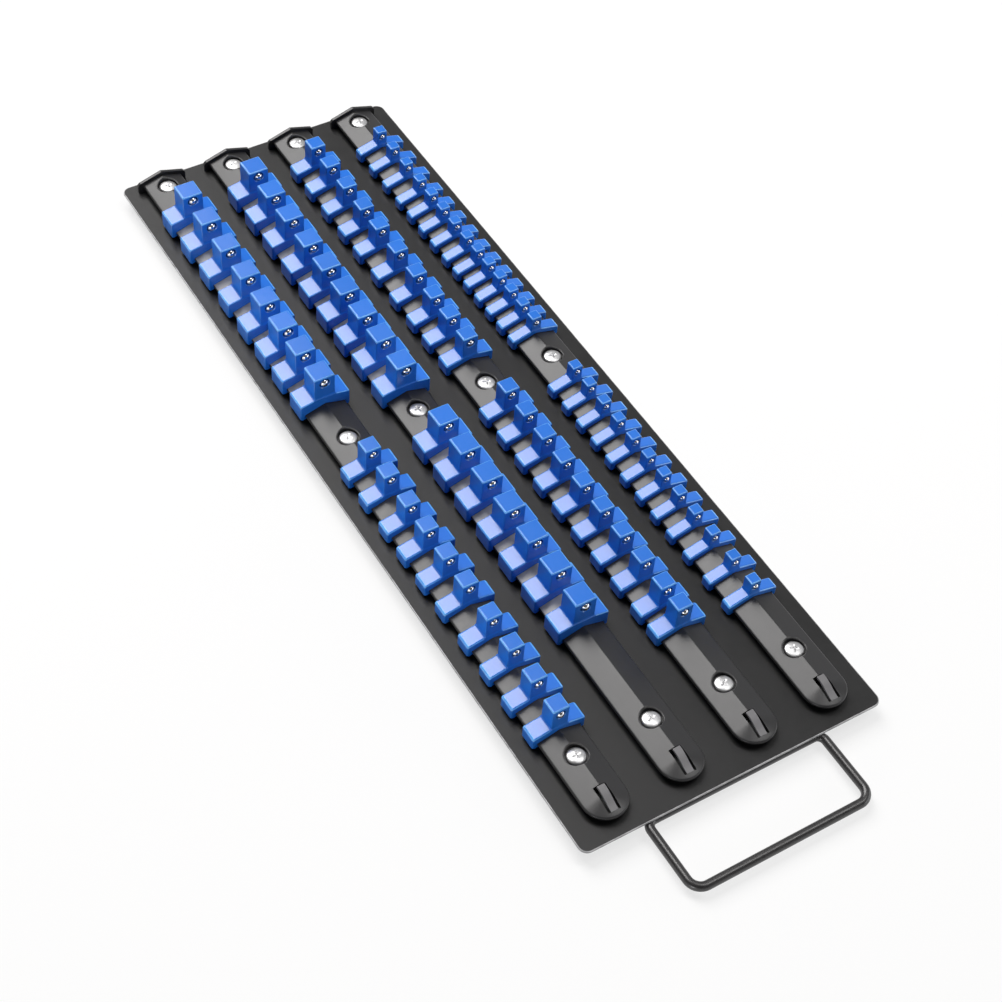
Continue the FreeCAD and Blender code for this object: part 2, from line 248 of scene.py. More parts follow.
def finished_mesh(bm: Solid, name: str) -> Mesh:
    """Turns a solid into a mesh that is smooth except across its sharp edges.

    Args:
        bm: The solid, freed afterwards.
        name: The mesh's name.

    Returns:
        The mesh.
    """
    for face in bm.faces:
        face.smooth = True
    for edge in bm.edges:
        edge.smooth = len(edge.link_faces) == 2 and edge.calc_face_angle() < SMOOTH_LIMIT
    mesh = bpy.data.meshes.new(name)
    bm.to_mesh(mesh)
    bm.free()
    return mesh


def merged(mesh: Mesh, reach: float = MERGE) -> Solid:
    """Makes a solid of a mesh and merges its doubles.

    Args:
        mesh: The mesh.
        reach: How near two points are when they are merged.

    Returns:
        The solid.
    """
    bm = bmesh.new()
    bm.from_mesh(mesh)
    bmesh.ops.remove_doubles(bm, verts=bm.verts, dist=reach)
    return bm


def outward(mesh: Mesh, name: str) -> Mesh:
    """Merges a mesh's doubles, turns its faces outwards and finishes it.

    Args:
        mesh: The mesh.
        name: The new mesh's name.

    Returns:
        The new mesh.
    """
    bm = merged(mesh, FINE_MERGE)
    bmesh.ops.recalc_face_normals(bm, faces=bm.faces)
    return finished_mesh(bm, name)


def linked(name: str, data: bpy.types.ID) -> bpy.types.Object:
    """Links a mesh, a lamp or a camera into the scene.

    Args:
        name: The object's name.
        data: What it shows.

    Returns:
        The object, at the origin.
    """
    body = bpy.data.objects.new(name, data)
    bpy.context.scene.collection.objects.link(body)
    return body


def evaluated_mesh(body: bpy.types.Object) -> Mesh:
    """Applies an object's modifiers and removes the object.

    Args:
        body: The object.

    Returns:
        Its final shape as a plain mesh.
    """
    bpy.context.view_layer.update()
    graph = bpy.context.evaluated_depsgraph_get()
    mesh = bpy.data.meshes.new_from_object(body.evaluated_get(graph), depsgraph=graph)
    bpy.data.objects.remove(body)
    return mesh


def combined(base: Solid, tool: Solid, how: Cut) -> Solid:
    """Joins or cuts one solid with another.

    Args:
        base: The solid that is kept.
        tool: The solid that is added or taken away.
        how: Which of the two.

    Returns:
        A new solid with its doubles merged.
    """
    kept = linked("kept", finished_mesh(base, "kept"))
    cutter = linked("cutter", finished_mesh(tool, "cutter"))
    modifier = kept.modifiers.new("Join", "BOOLEAN")
    modifier.object = cutter
    modifier.operation = how.value
    modifier.solver = "EXACT"
    mesh = evaluated_mesh(kept)
    bpy.data.objects.remove(cutter)
    return merged(mesh)


def islands(node: str) -> list[Box]:
    """Finds the boxes of a CAD node's separate solids.

    Args:
        node: The node's name.

    Returns:
        The lowest and highest corner of each solid, from the rear to the front, and from left to
        right where two lie level.
    """
    bm = merged(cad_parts[node].data)
    left = set(bm.verts)
    boxes = []
    while left:
        reached = [left.pop()]
        solid = []
        while reached:
            vert = reached.pop()
            solid.append(vert.co.copy())
            for edge in vert.link_edges:
                other = edge.other_vert(vert)
                if other in left:
                    left.remove(other)
                    reached.append(other)
        low = Vector([min(point[i] for point in solid) for i in range(3)])
        high = Vector([max(point[i] for point in solid) for i in range(3)])
        boxes.append((low, high))
    bm.free()
    return sorted(boxes, key=lambda corners: (-corners[0].y, corners[0].x))


def middle(corners: Box) -> Vector:
    """The middle of a box."""
    return (corners[0] + corners[1]) / 2


def off_axis(place: Vector, screw: Vector) -> float:
    """How far a place on a rail, about x = 0, lies from a screw's axis."""
    return math.hypot(place.x, place.y - screw.y)


# ---- Node trees ------------------------------------------------------------------------------
class Bench:
    """Adds nodes to a tree and joins their sockets."""

    def __init__(self, tree: Tree) -> None:
        """Starts on a tree."""
        self.tree = tree

    def node(self, kind: str, **settings: object) -> Node:
        """Adds a node.

        Args:
            kind: Its type.
            settings: Its properties by name.

        Returns:
            The node.
        """
        made = self.tree.nodes.new(kind)
        for name, value in settings.items():
            setattr(made, name, value)
        return made

    def feed(self, node: Node, **values: object) -> Node:
        """Sets or joins inputs of a node.

        Args:
            node: The node.
            values: Socket names with spaces as underscores, or _0, _1 for a place in the list;
                a value is a constant or another node's output socket.

        Returns:
            The node.
        """
        for name, value in values.items():
            socket = node.inputs[int(name[1:]) if name[1:].isdigit() else name.replace("_", " ")]
            if isinstance(value, Socket):
                self.tree.links.new(value, socket)
            else:
                socket.default_value = value
        return node

    def made(self, kind: str, **values: object) -> Socket:
        """Adds a node with these inputs and gives its first output."""
        return self.feed(self.node(kind), **values).outputs[0]

    def group(self, tree: Tree, **values: object) -> Outputs:
        """Places a shader group with these inputs and gives its outputs."""
        return self.feed(self.node("ShaderNodeGroup", node_tree=tree), **values).outputs

    def maths(self, operation: str, a: object, b: object, clamp: bool = False) -> Socket:
        """The result of a Math node on two values or sockets."""
        made = self.node("ShaderNodeMath", operation=operation, use_clamp=clamp)
        return self.feed(made, _0=a, _1=b).outputs[0]

    def noise(self, place: Socket, scale: Socket, detail: float, roughness: float) -> Socket:
        """The grey result of a Noise Texture node."""
        made = self.node("ShaderNodeTexNoise")
        self.feed(made, Vector=place, Scale=scale, Detail=detail, Roughness=roughness)
        return made.outputs["Fac"]

    def ranged(self, value: Socket, span: Point, to: Point) -> Socket:
        """Moves a value smoothly from one range to another.

        Args:
            value: The value.
            span: The range that it comes from; outside it the result stays at its ends.
            to: The range that it goes to.

        Returns:
            The result.
        """
        made = self.node("ShaderNodeMapRange", interpolation_type="SMOOTHSTEP")
        self.feed(made, Value=value, From_Min=span[0], From_Max=span[1], To_Min=to[0], To_Max=to[1])
        return made.outputs["Result"]

    def mixed(self, factor: Socket, a: Socket, b: Socket) -> Socket:
        """The colour result of a Mix node."""
        made = self.node("ShaderNodeMix", data_type="RGBA", blend_type="MIX", clamp_factor=True)
        return self.feed(made, _0=factor, _6=a, _7=b).outputs[2]


def opaque(colour: Triple) -> tuple[float, float, float, float]:
    """A colour with its fourth number."""
    return (*colour, 1.0)


class ShaderGroups:
    """The shader node groups that the finishes share, each built once."""

    def __init__(self) -> None:
        """Builds every group."""
        self.grain = self._grain()
        self.painted_light_mix = self._painted_light_group()
        self.dust = self._dust()
        self.tint = self._tint()

    @staticmethod
    def _start(
        name: str, results: tuple[str, ...], **inputs: object
    ) -> tuple[Bench, Outputs, Node]:
        """Makes an empty group.

        Args:
            name: The group's name.
            results: Its outputs' names; "Colour" is a colour and the others are numbers.
            inputs: Its inputs' names, with spaces as underscores, and their default values; three
                numbers are a place and four are a colour.

        Returns:
            The bench, the group's inputs and its output node.
        """
        tree = bpy.data.node_groups.new(name, "ShaderNodeTree")
        kinds = {1: "NodeSocketFloat", 3: "NodeSocketVector", 4: "NodeSocketColor"}
        for socket, value in inputs.items():
            kind = kinds[len(value) if isinstance(value, tuple) else 1]
            title = socket.replace("_", " ")
            made = tree.interface.new_socket(title, in_out="INPUT", socket_type=kind)
            made.default_value = value
        for socket in results:
            kind = kinds[4 if socket == "Colour" else 1]
            tree.interface.new_socket(socket, in_out="OUTPUT", socket_type=kind)
        bench = Bench(tree)
        return bench, bench.node("NodeGroupInput").outputs, bench.node("NodeGroupOutput")

    def _grain(self) -> Tree:
        """Builds fine surface texture.

        Returns:
            The group: a height for the bump, and a mottle for colour and roughness.
        """
        bench, given, result = self._start(
            "Surface grain", ("Height", "Mottle"), Place=ORIGIN, Scale=2000.0, Mottle_Scale=60.0
        )
        place = given["Place"]
        fine = bench.noise(place, given["Scale"], detail=3.0, roughness=0.6)
        broad = bench.noise(place, given["Mottle Scale"], detail=4.0, roughness=0.55)
        bench.feed(result, Height=fine, Mottle=broad)
        return bench.tree

    def _painted_light_group(self) -> Tree:
        """Builds painted light: where the "edge" attribute is, a second, paler colour is painted in
        patches.

        Returns:
            The group: the colour with the painted light, and the painted light's mask.
        """
        bench, given, result = self._start(
            "Painted light mix", ("Colour", "Mask"), Place=ORIGIN, Colour=BLACK,
            Worn_Colour=(0.5, 0.5, 0.5, 1.0), Amount=0.5, Patch_Scale=150.0,
        )
        # The "edge" attribute holds painted highlights and painted light, from 0 to 1.
        edge = bench.node("ShaderNodeAttribute", attribute_name="edge").outputs["Fac"]
        noise = bench.noise(given["Place"], given["Patch Scale"], detail=3.0, roughness=0.5)
        patches = bench.ranged(noise, span=(0.35, 0.65), to=(0.6, 1.0))
        full = bench.maths("MULTIPLY", edge, patches)
        mask = bench.maths("MULTIPLY", full, given["Amount"], clamp=True)
        colour = bench.mixed(mask, given["Colour"], given["Worn Colour"])
        bench.feed(result, Colour=colour, Mask=mask)
        return bench.tree

    def _dust(self) -> Tree:
        """Builds thin dust on faces that look up.

        Returns:
            The group: the colour with the dust on it, and the dust's mask.
        """
        bench, given, result = self._start(
            "Dust film", ("Colour", "Mask"), Place=ORIGIN, Colour=BLACK,
            Dust_Colour=(0.3, 0.29, 0.27, 1.0), Amount=0.05, Cloud_Scale=25.0,
        )
        normal = bench.node("ShaderNodeNewGeometry").outputs["Normal"]
        axes = bench.feed(bench.node("ShaderNodeSeparateXYZ"), _0=normal)
        upward = bench.ranged(axes.outputs["Z"], span=(0.5, 1.0), to=(0.0, 1.0))
        noise = bench.noise(given["Place"], given["Cloud Scale"], detail=5.0, roughness=0.6)
        clouds = bench.ranged(noise, span=(0.3, 0.75), to=(0.2, 1.0))
        full = bench.maths("MULTIPLY", upward, clouds)
        mask = bench.maths("MULTIPLY", full, given["Amount"], clamp=True)
        colour = bench.mixed(mask, given["Colour"], given["Dust Colour"])
        bench.feed(result, Colour=colour, Mask=mask)
        return bench.tree

    def _tint(self) -> Tree:
        """Builds the difference from piece to piece.

        Returns:
            The group: the colour, lightened or darkened by the "tint" attribute from -1 to 1.
        """
        bench, given, result = self._start(
            "Batch tint", ("Colour",), Colour=BLACK, Mottle=0.5, Spread=0.06, Flow=0.06
        )
        tint = bench.node("ShaderNodeAttribute", attribute_name="tint").outputs["Fac"]
        own = bench.maths("MULTIPLY", tint, given["Spread"])
        flow = bench.maths("MULTIPLY", bench.maths("SUBTRACT", given["Mottle"], 0.5), given["Flow"])
        value = bench.maths("ADD", bench.maths("ADD", own, flow), 1.0)
        shade = bench.made("ShaderNodeHueSaturation", Color=given["Colour"], Value=value)
        bench.feed(result, Colour=shade)
        return bench.tree


# ---- Finishes --------------------------------------------------------------------------------
@dataclass(frozen=True)
class Finish:
    """A surface finish: its colours, its gloss and the textures that break it up.

    Scales are in cycles a metre; heights are in metres.
    """

    name: str
    slot: str
    colour: Triple
    # Second colour, painted where the "edge" attribute is: painted highlights and painted light.
    worn: Triple
    roughness: float
    mottled_roughness: float
    grain_scale: float
    grain_height: float
    mottle_scale: float
    mottle_span: Point = (0.3, 0.7)
    metallic: float = 0.0
    specular: float = 0.5
    flow: float = 0.08
    spread: float = 0.0
    # How strongly that painted light is mixed in.
    painted_light_mix: float = 0.0
    dust: float = 0.0
    least_dust: float = 0.01
    dust_roughness: float = 0.15

    def material(self, groups: ShaderGroups) -> bpy.types.Material:
        """Builds the finish as a material.

        Args:
            groups: The shader groups that it places.

        Returns:
            The material.
        """
        made = bpy.data.materials.new(self.name)
        made.use_nodes = True
        made.node_tree.nodes.clear()
        bench = Bench(made.node_tree)
        place = bench.node("ShaderNodeTexCoord").outputs["Object"]
        grain = bench.group(
            groups.grain, Place=place, Scale=self.grain_scale, Mottle_Scale=self.mottle_scale
        )
        tint = bench.group(
            groups.tint, Colour=opaque(self.colour), Mottle=grain["Mottle"], Spread=self.spread,
            Flow=self.flow,
        )
        painted_light_mix = bench.group(
            groups.painted_light_mix, Place=place, Colour=tint["Colour"], Worn_Colour=opaque(self.worn),
            Amount=self.painted_light_mix,
        )
        dust = bench.group(groups.dust, Place=place, Colour=painted_light_mix["Colour"], Amount=self.dust)
        limits = (self.roughness - self.mottled_roughness, self.roughness + self.mottled_roughness)
        varied = bench.ranged(grain["Mottle"], self.mottle_span, to=limits)
        share = self.dust_roughness / max(self.dust, self.least_dust)
        dusty = bench.maths("MULTIPLY", dust["Mask"], share)
        bump = bench.made(
            "ShaderNodeBump", Height=grain["Height"], Strength=1.0, Distance=self.grain_height
        )
        shader = bench.made(
            "ShaderNodeBsdfPrincipled",
            Base_Color=dust["Colour"],
            Roughness=bench.maths("ADD", varied, dusty, clamp=True),
            Metallic=self.metallic,
            Specular_IOR_Level=self.specular,
            Normal=bump,
        )
        bench.feed(bench.node("ShaderNodeOutputMaterial"), Surface=shader)
        return made


# Its second colour, pale grey, is a painted highlight along the plate's rounded edges.
COATED_STEEL = Finish(
    "Powder-coated steel", "powder_coated_steel", (0.0070, 0.0069, 0.0073), (0.45, 0.45, 0.46),
    0.37, 0.015, specular=0.39, grain_scale=1400.0, grain_height=0.02 * MM, mottle_scale=260.0,
    flow=0.12, painted_light_mix=0.9, dust=0.004,
)
HANDLE_COAT = Finish(
    "Coated handle wire", "handle_wire", (0.019, 0.018, 0.0185), (0.12, 0.12, 0.125),
    0.30, 0.03, specular=0.75, grain_scale=1600.0, grain_height=0.02 * MM, mottle_scale=300.0,
    flow=0.15, painted_light_mix=0.3, dust=0.002,
)
# Its second colour is painted light: pale patches on the rail tops along the clip runs, and a faint
# painted highlight on the screw seats' rims.
RAIL_PLASTIC = Finish(
    "Rail plastic", "rail_plastic", (0.0200, 0.0196, 0.0207), (0.46, 0.45, 0.43),
    0.35, 0.006, specular=0.58, grain_scale=2600.0, grain_height=0.014 * MM, mottle_scale=220.0,
    flow=0.05, painted_light_mix=1.0, dust=0.002,
)
# Painted light: this pale grey stands for the light on the tongue's top.
LATCH_PLASTIC = Finish(
    "Latch plastic painted pale", "rail_plastic", (0.155, 0.152, 0.158), (0.25, 0.25, 0.25),
    0.42, 0.02, grain_scale=2600.0, grain_height=0.02 * MM, mottle_scale=600.0,
    flow=0.2, painted_light_mix=0.4, dust=0.002,
)
# Its second colour, pale sky blue, is a painted highlight on the clips' rounded edges and round the
# bores' mouths.
CLIP_PLASTIC = Finish(
    "Clip plastic", "clip_plastic", (0.017, 0.166, 0.665), (0.14, 0.46, 0.94),
    0.215, 0.006, specular=0.74, grain_scale=3600.0, grain_height=0.005 * MM, mottle_scale=500.0,
    flow=0.04, spread=0.04, painted_light_mix=0.9, dust=0.003,
)
SCREW_STEEL = Finish(
    "Plated screw steel", "screw_steel", (0.59, 0.59, 0.595), (0.75, 0.75, 0.75),
    0.34, 0.05, metallic=1.0, grain_scale=2600.0, grain_height=0.006 * MM, mottle_scale=400.0,
    flow=0.1, spread=0.05, painted_light_mix=0.2, dust=0.01,
)
BALL_STEEL = Finish(
    "Ball steel", "ball_steel", (0.72, 0.73, 0.75), (0.8, 0.8, 0.8),
    0.07, 0.02, metallic=1.0, grain_scale=3000.0, grain_height=0.001 * MM, mottle_scale=500.0,
)
SPRING_STEEL = Finish(
    "Spring steel", "spring_steel", (0.36, 0.36, 0.37), (0.5, 0.5, 0.5),
    0.32, 0.05, metallic=1.0, grain_scale=3000.0, grain_height=0.004 * MM, mottle_scale=500.0,
)
FOOT_RUBBER = Finish(
    "Foot rubber", "foot_rubber", (0.016, 0.016, 0.016), (0.05, 0.05, 0.05),
    0.72, 0.06, specular=0.35, grain_scale=1800.0, grain_height=0.04 * MM, mottle_scale=120.0,
    painted_light_mix=0.3, dust=0.04,
)
FINISHES = (
    COATED_STEEL, HANDLE_COAT, RAIL_PLASTIC, LATCH_PLASTIC, CLIP_PLASTIC, SCREW_STEEL, BALL_STEEL,
    SPRING_STEEL, FOOT_RUBBER,
)


class Paintshop:
    """Holds the material of every finish and gives it to pieces."""

    def __init__(self) -> None:
        """Builds the materials."""
        groups = ShaderGroups()
        self.materials = {finish: finish.material(groups) for finish in FINISHES}

    def piece(self, name: str, mesh: Mesh, finish: Finish, body: str, *nodes: str) -> None:
        """Makes a finished piece of a mesh and hangs it on its body.

        Args:
            name: The piece's name.
            mesh: Its mesh, in place.
            finish: Its finish.
            body: The CAD body that it rides on.
            nodes: The CAD nodes that it stands for.
        """
        blank = linked(f"{name}_blank", mesh)
        even = blank.modifiers.new("Even faces", "WEIGHTED_NORMAL")
        even.keep_sharp = True
        mesh = evaluated_mesh(blank)
        mesh.name = name
        mesh.materials.clear()
        mesh.materials.append(self.materials[finish])
        made = linked(name, mesh)
        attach(made, body)
        if nodes:
            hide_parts(*nodes)
        log.info("%s: %d faces on %s", name, len(mesh.polygons), body)


# ---- Geometry node trees ---------------------------------------------------------------------
class NodeTool:
    """A geometry node tree with named inputs, run on points to give a plain mesh."""

    title = "Tool"
    sockets: dict[str, str] = {}

    def __init__(self) -> None:
        """Makes the tree, its sockets and its closing nodes, and lets the tool fill it."""
        self.tree = bpy.data.node_groups.new(self.title, "GeometryNodeTree")
        face = self.tree.interface
        face.new_socket("Geometry", in_out="INPUT", socket_type="NodeSocketGeometry")
        self.identifiers: dict[str, str] = {}
        for name, kind in {**self.sockets, "Finish": "NodeSocketMaterial"}.items():
            made = face.new_socket(name, in_out="INPUT", socket_type=kind)
            self.identifiers[name] = made.identifier
        face.new_socket("Geometry", in_out="OUTPUT", socket_type="NodeSocketGeometry")
        bench = Bench(self.tree)
        given = bench.node("NodeGroupInput").outputs
        shape = bench.made("GeometryNodeRealizeInstances", Geometry=self.fill(bench, given))
        painted = bench.made("GeometryNodeSetMaterial", Geometry=shape, Material=given["Finish"])
        bench.feed(bench.node("NodeGroupOutput"), Geometry=painted)

    def fill(self, bench: Bench, given: Outputs) -> Socket:
        """Builds the tool's own nodes; each tool has its own.

        Args:
            bench: The bench on the tree.
            given: The tree's inputs.

        Returns:
            The geometry socket before the instances are realized.
        """
        raise NotImplementedError

    def run(self, points: Iterable[Vector], **values: object) -> Mesh:
        """Runs the tree on points.

        Args:
            points: Where the shapes go.
            values: The tree's inputs by name, with spaces as underscores.

        Returns:
            The result as a plain mesh.
        """
        mesh = bpy.data.meshes.new(self.title)
        mesh.from_pydata([tuple(point) for point in points], [], [])
        body = linked(self.title, mesh)
        modifier = body.modifiers.new(self.title, "NODES")
        modifier.node_group = self.tree
        for name, value in values.items():
            modifier[self.identifiers[name.replace("_", " ")]] = value
        return evaluated_mesh(body)


class PlacedCopies(NodeTool):
    """Copies of one template at every point, each with its own small tint."""

    title = "Placed copies"
    sockets = {"Template": "NodeSocketObject", "Seed": "NodeSocketInt", "Turn": "NodeSocketFloat"}
    tint_seed_step = 7.0

    def fill(self, bench: Bench, given: Outputs) -> Socket:
        """Instances the template with a random turn about Z and a random tint.

        Args:
            bench: The bench on the tree.
            given: The tree's inputs.

        Returns:
            The copies.
        """
        seed, most = given["Seed"], given["Turn"]
        template = bench.feed(bench.node("GeometryNodeObjectInfo"), Object=given["Template"])
        turn = bench.node("FunctionNodeRandomValue", data_type="FLOAT")
        bench.feed(turn, _2=bench.maths("MULTIPLY", most, -1.0), _3=most, Seed=seed)
        copies = bench.made(
            "GeometryNodeInstanceOnPoints",
            Points=given["Geometry"],
            Instance=template.outputs["Geometry"],
            Rotation=bench.made("ShaderNodeCombineXYZ", Z=turn.outputs[1]),
        )
        tint = bench.node("FunctionNodeRandomValue", data_type="FLOAT")
        bench.feed(tint, _2=-1.0, _3=1.0, Seed=bench.maths("ADD", seed, self.tint_seed_step))
        stored = bench.node(
            "GeometryNodeStoreNamedAttribute", data_type="FLOAT", domain="INSTANCE"
        )
        bench.feed(stored, Geometry=copies, Name="tint")
        number = next(s for s in stored.inputs if s.name == "Value" and s.type == "VALUE")
        bench.tree.links.new(tint.outputs[1], number)
        return stored.outputs[0]


class CoilSprings(NodeTool):
    """A coil spring along +Y from every point."""

    title = "Coil springs"
    sockets = dict.fromkeys(("Length", "Radius", "Wire Radius", "Turns"), "NodeSocketFloat")
    points_a_turn = 10
    wire_sides = 5

    def fill(self, bench: Bench, given: Outputs) -> Socket:
        """Sweeps a wire section along a spiral and instances it.

        Args:
            bench: The bench on the tree.
            given: The tree's inputs.

        Returns:
            The springs.
        """
        spiral = bench.made(
            "GeometryNodeCurveSpiral",
            Resolution=self.points_a_turn,
            Rotations=given["Turns"],
            Start_Radius=given["Radius"],
            End_Radius=given["Radius"],
            Height=given["Length"],
        )
        section = bench.made(
            "GeometryNodeCurvePrimitiveCircle", Resolution=self.wire_sides,
            Radius=given["Wire Radius"],
        )
        swept = bench.made(
            "GeometryNodeCurveToMesh", Curve=spiral, Profile_Curve=section, Fill_Caps=True
        )
        return bench.made(
            "GeometryNodeInstanceOnPoints", Points=given["Geometry"], Instance=swept,
            Rotation=(-QUARTER_TURN, 0.0, 0.0),
        )


class WireLoop(NodeTool):
    """A closed loop of round wire, whose front and rear corners have their own bends."""

    title = "Wire loop"
    sockets = dict.fromkeys(
        ("Width", "Depth", "Front Bend", "Rear Bend", "Wire Radius"), "NodeSocketFloat"
    )
    bend_steps = 9
    wire_sides = 20

    def fill(self, bench: Bench, given: Outputs) -> Socket:
        """Bends the rectangle and sweeps the wire's section round it, once for each point.

        Args:
            bench: The bench on the tree.
            given: The tree's inputs.

        Returns:
            The loops.
        """
        loop = bench.node("GeometryNodeCurvePrimitiveQuadrilateral", mode="RECTANGLE")
        bench.feed(loop, Width=given["Width"], Height=given["Depth"])
        place = bench.made("GeometryNodeInputPosition")
        axes = bench.feed(bench.node("ShaderNodeSeparateXYZ"), _0=place)
        rear = bench.node("FunctionNodeCompare", data_type="FLOAT", operation="GREATER_THAN")
        bench.feed(rear, _0=axes.outputs["Y"])
        bend = bench.node("GeometryNodeSwitch", input_type="FLOAT")
        bench.feed(bend, _0=rear.outputs[0], _1=given["Front Bend"], _2=given["Rear Bend"])
        rounded = bench.node("GeometryNodeFilletCurve", mode="POLY")
        bench.feed(rounded, Curve=loop.outputs[0], Radius=bend.outputs[0], Count=self.bend_steps)
        section = bench.made(
            "GeometryNodeCurvePrimitiveCircle", Resolution=self.wire_sides,
            Radius=given["Wire Radius"],
        )
        swept = bench.made(
            "GeometryNodeCurveToMesh", Curve=rounded.outputs[0], Profile_Curve=section
        )
        return bench.made(
            "GeometryNodeInstanceOnPoints", Points=given["Geometry"], Instance=swept
        )


@dataclass
class Workshop:
    """The tools that every sub-assembly uses."""

    paint: Paintshop
    copies: PlacedCopies
    coils: CoilSprings
    loops: WireLoop

    def repeated(
        self, bm: Solid, points: list[Vector], finish: Finish, seed: int, turn: float = 0.0
    ) -> Mesh:
        """Copies a template to every point.

        Args:
            bm: The template, about the origin.
            points: Where the copies go.
            finish: Their finish.
            seed: Seed of their tints and turns.
            turn: How far a copy may turn about Z, either way.

        Returns:
            One plain mesh with every copy.
        """
        template = linked("template", finished_mesh(bm, "template"))
        paint = self.paint.materials[finish]
        mesh = self.copies.run(points, Template=template, Seed=seed, Turn=turn, Finish=paint)
        bpy.data.objects.remove(template)
        return mesh


# ---- Plate, feet and handle ------------------------------------------------------------------
@dataclass
class TrayPlate:
    """The coated steel plate."""

    corner_radius: float = 5.0 * MM
    corner_steps: int = 8
    edge_radius: float = 0.6 * MM
    edge_cut: float = 0.29
    flat: float = 0.98

    def build(self, shop: Workshop) -> None:
        """Makes the plate with rolled edges, with a painted highlight along them.

        Args:
            shop: The tools.
        """
        low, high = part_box("tray_plate")
        centre = middle((low, high))
        half = (high - low) / 2
        r, cut = self.edge_radius, self.edge_radius * self.edge_cut
        levels = [(r, 0.0), (cut, cut), (0.0, r)]
        levels += [(inset, high.z - low.z - height) for inset, height in reversed(levels)]
        rings = []
        for inset, height in levels:
            outline = rounded_rectangle(
                half.x - inset, half.y - inset, self.corner_radius - inset, self.corner_steps
            )
            rings.append([Vector((centre.x + x, centre.y + y, low.z + height)) for x, y in outline])
        bm = stacked(rings)
        # Painted highlight: every face that is not the flat top or bottom gets the pale edge
        # colour.
        marked(bm, lambda face: 1.0 if abs(face.normal.z) < self.flat else 0.0)
        mesh = finished_mesh(bm, "plate")
        shop.paint.piece("tray_plate_sheet", mesh, COATED_STEEL, "tray", "tray_plate")


@dataclass
class RubberFeet:
    """Four tapered feet under the plate; the bottom edge's cut is in shares of its radius."""

    top_radius: float = 8.0 * MM
    top_edge: float = 0.2 * MM
    bottom_radius: float = 7.0 * MM
    edge_radius: float = 0.8 * MM
    edge_cut: Point = (0.3, 0.25)
    hollow_radius: float = 3.0 * MM
    hollow_depth: float = 1.5 * MM
    hollow_flare: float = 0.3 * MM
    sides: int = 32
    seed: int = 11

    def build(self, shop: Workshop) -> None:
        """Turns one foot and places it at each corner.

        Args:
            shop: The tools.
        """
        boxes = islands("rubber_feet")
        height = boxes[0][1].z
        r = self.edge_radius
        profile = [
            (0.0, self.hollow_depth),
            (self.hollow_radius, self.hollow_depth),
            (self.hollow_radius + self.hollow_flare, 0.0),
            (self.bottom_radius - r, 0.0),
            (self.bottom_radius - self.edge_cut[0] * r, self.edge_cut[1] * r),
            (self.bottom_radius, r),
            (self.top_radius, height - self.top_edge),
            (self.top_radius - self.top_edge, height),
            (0.0, height),
        ]
        places = [Vector((middle(corners).x, middle(corners).y, 0.0)) for corners in boxes]
        mesh = shop.repeated(turned(profile, self.sides), places, FOOT_RUBBER, self.seed)
        shop.paint.piece("rubber_feet_moulded", mesh, FOOT_RUBBER, "tray", "rubber_feet")


@dataclass
class PullHandle:
    """The closed wire loop, whose fourth side is welded under the plate's front edge.

    The welds' profile and drop are in shares of a bead's size, and their reach is in shares of
    the wire's radius.
    """

    wire_radius: float = 2.5 * MM
    front_bend: float = 7.0 * MM
    rear_bend: float = 4.5 * MM
    weld_size: float = 1.5 * MM
    weld_profile: tuple[Point, ...] = (
        (0.0, -0.55), (0.7, -0.4), (1.0, 0.0), (0.7, 0.25), (0.0, 0.35)
    )
    weld_sides: int = 12
    weld_drop: float = 0.45
    weld_reach: float = 0.86
    weld_middles: Triple = (-36 * MM, 0.0, 36 * MM)
    weld_pitch: float = 1.7 * MM
    weld_beads: int = 9
    weld_turn: float = 3.0
    weld_seed: int = 23

    def build(self, shop: Workshop) -> None:
        """Bends the wire and lays the weld beads along its rear bar.

        Args:
            shop: The tools.
        """
        low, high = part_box("handle")
        centre = middle((low, high))
        size = high - low
        centre.z = high.z - self.wire_radius
        mesh = shop.loops.run(
            [centre],
            Width=size.x - 2 * self.wire_radius,
            Depth=size.y - 2 * self.wire_radius,
            Front_Bend=self.front_bend,
            Rear_Bend=self.rear_bend,
            Wire_Radius=self.wire_radius,
            Finish=shop.paint.materials[HANDLE_COAT],
        )
        shop.paint.piece("handle_wire_loop", outward(mesh, "handle"), HANDLE_COAT, "tray", "handle")
        self._welds(shop, centre, high.y - self.wire_radius)

    def _welds(self, shop: Workshop, centre: Vector, bar_y: float) -> None:
        """Lays rows of overlapping weld beads in the corner between the bar and the plate.

        Args:
            shop: The tools.
            centre: The loop's middle.
            bar_y: Where the rear bar's centre line is.
        """
        size = self.weld_size
        profile = [(radius * size, place * size) for radius, place in self.weld_profile]
        height = centre.z + self.wire_radius - self.weld_drop * size
        places = []
        for x in self.weld_middles:
            for bead in range(self.weld_beads):
                along = x + (bead - (self.weld_beads - 1) / 2) * self.weld_pitch
                places.append(Vector((along, bar_y + self.wire_radius * self.weld_reach, height)))
        bead = turned(profile, self.weld_sides)
        mesh = shop.repeated(bead, places, HANDLE_COAT, self.weld_seed, self.weld_turn)
        shop.paint.piece("handle_weld_beads", mesh, HANDLE_COAT, "tray")


